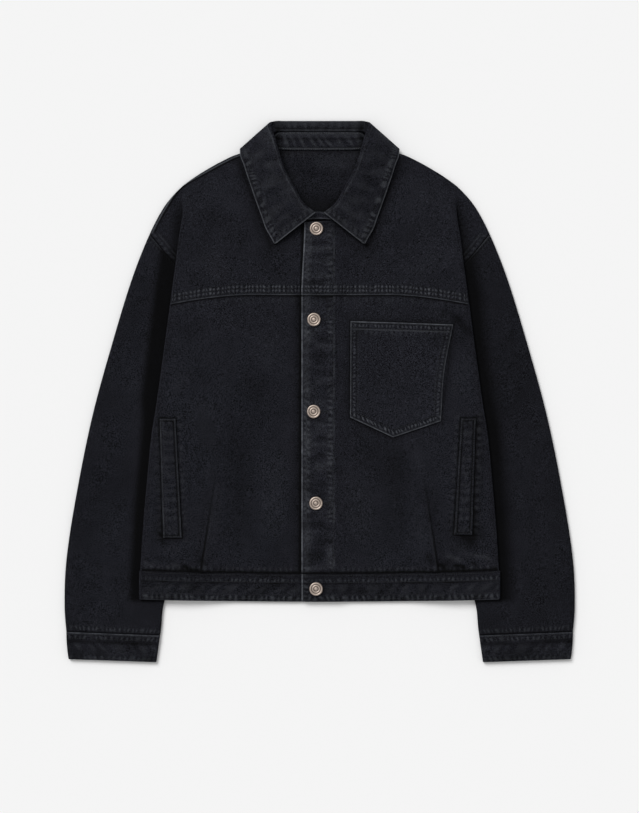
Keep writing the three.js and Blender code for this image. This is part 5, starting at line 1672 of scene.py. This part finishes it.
class JacketCloth(bpy.types.PropertyGroup):
    """The cloth's grid, weave and colours"""

    step: bpy.props.FloatProperty(
        name="Grid step", description="Distance between a front's points", default=2.1 * MM, min=0.0015, unit="LENGTH")
    twill: bpy.props.FloatProperty(
        name="Twill pitch", description="Distance between the twill's ridges", default=1.5 * MM, unit="LENGTH")
    grain: bpy.props.FloatProperty(name="Grain", description="How strongly the cloth is mottled", default=1.0)
    denim: bpy.props.FloatVectorProperty(
        name="Denim", description="The cloth's colour", default=(0.0096, 0.0100, 0.0132), size=3, subtype="COLOR")
    # The pale colour: of worn edges and seams, and of the painted highlights
    wear_and_highlight: bpy.props.FloatVectorProperty(
        name="Worn denim", description="Its colour where it is rubbed", default=(0.129, 0.138, 0.154), size=3,
        subtype="COLOR")


class JacketThread(bpy.types.PropertyGroup):
    """The sewing thread"""

    pitch: bpy.props.FloatProperty(
        name="Stitch pitch", description="Distance from one stitch to the next", default=3.4 * MM, unit="LENGTH")
    width: bpy.props.FloatProperty(
        name="Thread width", description="Thickness of the thread", default=0.75 * MM, unit="LENGTH")
    colour: bpy.props.FloatVectorProperty(
        name="Thread", description="The thread's colour", default=(0.012, 0.013, 0.015), size=3, subtype="COLOR")


class JacketButtons(bpy.types.PropertyGroup):
    """The buttons' metal"""

    metal: bpy.props.FloatVectorProperty(
        name="Metal", description="The buttons' colour", default=(0.56, 0.465, 0.40), size=3, subtype="COLOR")


class JacketStudio(bpy.types.PropertyGroup):
    """The floor, the lights and the camera"""

    lens: bpy.props.FloatProperty(
        name="Focal length", description="The camera's focal length in millimetres", default=85.0)
    height: bpy.props.FloatProperty(
        name="Camera height", description="Height of the camera over the floor", default=2.69, unit="LENGTH")
    key: bpy.props.FloatProperty(name="Key light", description="Strength of the main light", default=2.285)
    air: bpy.props.FloatProperty(name="Air light", description="Strength of the light from all round", default=0.562)
    floor: bpy.props.FloatVectorProperty(
        name="Floor", description="The floor's colour", default=(0.86, 0.86, 0.86), size=3, subtype="COLOR")


class JacketBack(bpy.types.Operator):
    """Lay the back panel"""

    bl_idname = "jacket.back"
    bl_label = "Back"

    def execute(self, context):
        dress(back(), "back", flat=(0.50, 0.60), area=0.215, rests_on=["sleeve_left", "sleeve_right"])
        return {"FINISHED"}


class JacketFronts(bpy.types.Operator):
    """Lay the two lower fronts"""

    bl_idname = "jacket.fronts"
    bl_label = "Fronts"

    def execute(self, context):
        for side, hand in SIDES.items():
            dress(lower_front(side), f"front_{hand}", flat=(0.335, 0.395), area=0.122, rests_on=["back"])
        return {"FINISHED"}


class JacketYokes(bpy.types.Operator):
    """Lay the two front yokes and sew the rows on the body"""

    bl_idname = "jacket.yokes"
    bl_label = "Yokes"

    def execute(self, context):
        for side, hand in SIDES.items():
            dress(yoke(side), f"yoke_{hand}", flat=(0.30, 0.21), area=0.046, rests_on=["back"])
        rows = body_stitches()
        for x, y in BUTTONS[1:4]:
            buttonhole(rows, x, y, lambda a, b: front_face(1, a, b))
        buttonhole(rows, *BUTTONS[0], lambda a, b: yoke_face(1, a, b))
        rows.piece("body_stitches")
        return {"FINISHED"}


class JacketSleeves(bpy.types.Operator):
    """Lay the two sleeves"""

    bl_idname = "jacket.sleeves"
    bl_label = "Sleeves"

    def execute(self, context):
        for side, hand in SIDES.items():
            dress(sleeve(side), f"sleeve_{hand}", flat=(0.32, 0.56), area=0.162, rests_on=["floor"])
        return {"FINISHED"}


class JacketCuffs(bpy.types.Operator):
    """Lay the two cuffs with their rows of stitches"""

    bl_idname = "jacket.cuffs"
    bl_label = "Cuffs"

    def execute(self, context):
        for side, hand in SIDES.items():
            lay(cuff(side), f"cuff_{hand}", flat=(0.27, 0.038), rests_on=["floor"])
        return {"FINISHED"}


class JacketWaistband(bpy.types.Operator):
    """Lay the waistband with its rows of stitches"""

    bl_idname = "jacket.waistband"
    bl_label = "Waistband"

    def execute(self, context):
        piece, rows = waistband()
        x, y = BUTTONS[4]
        buttonhole(rows, x, y, lambda a, b: 0 * a + ARMHOLE_THICK + BAND_RISE + FELLED)
        lay((piece, rows), "waistband", flat=(1.04, 0.0389), rests_on=["sleeve_left", "sleeve_right"])
        return {"FINISHED"}


class JacketCollar(bpy.types.Operator):
    """Fold the collar's leaf over its stand"""

    bl_idname = "jacket.collar"
    bl_label = "Collar"

    def execute(self, context):
        leaf, stand, yokes = collar_leaf(), collar_stand(), ["yoke_left", "yoke_right"]
        lay(leaf, "collar_leaf", flat=(0.50, 0.085), area=0.032, rests_on=yokes, held="folded")
        lay(stand, "collar_stand", flat=(0.40, 0.022), area=0.0082, rests_on=["back"], held="folded")
        return {"FINISHED"}


class JacketPockets(bpy.types.Operator):
    """Lay the chest pocket and the side pockets' welts"""

    bl_idname = "jacket.pockets"
    bl_label = "Pockets"

    def execute(self, context):
        lay(chest_pocket(), "chest_pocket", flat=(0.143, 0.158), area=0.020, rests_on=["front_left"])
        for row in WELTS:
            hand = SIDES[row["side"]]
            lay(welt(row), f"side_pocket_welt_{hand}", flat=(0.0225, 0.166), rests_on=[f"front_{hand}"])
        return {"FINISHED"}


class JacketButtonRow(bpy.types.Operator):
    """Set the five shank buttons"""

    bl_idname = "jacket.buttons"
    bl_label = "Buttons"

    def execute(self, context):
        for index, (x, y) in enumerate(BUTTONS, 1):
            button(index, x, y)
        return {"FINISHED"}


class JacketStage(bpy.types.Operator):
    """Make the floor, the lights and the camera"""

    bl_idname = "jacket.stage"
    bl_label = "Studio"

    def execute(self, context):
        studio = context.scene.jacket_studio
        size = 4000.0
        corners = np.array([[-size, -size, 0], [size, -size, 0], [size, size, 0], [-size, size, 0]], float)
        floor = bpy.data.meshes.new("floor")
        floor.from_pydata((corners * MM - [0, 0, 0.0002]).tolist(), [], [[0, 1, 2, 3]])
        ground = bpy.data.objects.new("floor", floor)
        context.scene.collection.objects.link(ground)
        f = Finish("floor_paper")
        tone = (f.noise(f.place(), 0.4, 1.0) - 0.5) * 0.02 + 0.5
        base = f.blend(tone, shade(studio.floor, 0.99), shade(studio.floor, 1.01))
        floor.materials.append(f.surface({"Specular IOR Level": 0.0, "Roughness": 1.0}, color=base))
        lamp = bpy.data.lights.new("key", "SUN")
        lamp.energy, lamp.angle = studio.key, np.radians(30)
        key = bpy.data.objects.new("key", lamp)
        key.rotation_euler = (-Vector(KEY_FROM)).to_track_quat("-Z", "Y").to_euler()
        context.scene.collection.objects.link(key)
        world = bpy.data.worlds.new("studio_air")
        world.use_nodes = True
        world.node_tree.nodes["Background"].inputs[0].default_value = (1, 1, 1, 1)
        world.node_tree.nodes["Background"].inputs[1].default_value = studio.air
        context.scene.world = world
        data = bpy.data.cameras.new("camera")
        data.lens, data.sensor_width = studio.lens, 36.0
        camera = bpy.data.objects.new("camera", data)
        camera.location = (-0.0002, -0.0210, studio.height)
        context.scene.collection.objects.link(camera)
        context.scene.camera = camera
        context.scene.view_settings.view_transform = "Standard"
        return {"FINISHED"}


PIECES = [
    JacketBack, JacketFronts, JacketYokes, JacketSleeves, JacketCuffs, JacketWaistband, JacketCollar, JacketPockets,
    JacketButtonRow, JacketStage,
]
SETTINGS = {
    "jacket_cloth": JacketCloth, "jacket_thread": JacketThread, "jacket_buttons": JacketButtons,
    "jacket_studio": JacketStudio,
}


class JacketPanel(bpy.types.Panel):
    """The jacket's settings and pieces"""

    bl_idname = "VIEW3D_PT_jacket"
    bl_label = "Denim jacket"
    bl_space_type = "VIEW_3D"
    bl_region_type = "UI"
    bl_category = "Jacket"

    def draw(self, context):
        for name, group in SETTINGS.items():
            settings = getattr(context.scene, name)
            for key in group.__annotations__:
                self.layout.prop(settings, key)
        for piece in PIECES:
            self.layout.operator(piece.bl_idname)


def register():
    """Add the settings, the operators and the panel to Blender."""
    for thing in [*SETTINGS.values(), *PIECES, JacketPanel]:
        bpy.utils.register_class(thing)
    for name, group in SETTINGS.items():
        setattr(bpy.types.Scene, name, bpy.props.PointerProperty(type=group))


def unregister():
    """Take them out again, in the opposite order."""
    for name in SETTINGS:
        delattr(bpy.types.Scene, name)
    for thing in reversed([*SETTINGS.values(), *PIECES, JacketPanel]):
        bpy.utils.unregister_class(thing)


def main():
    """Make every piece through its operator."""
    register()
    for piece in PIECES:
        getattr(bpy.ops.jacket, piece.bl_idname.split(".")[1])()


if __name__ == "__main__":
    main()
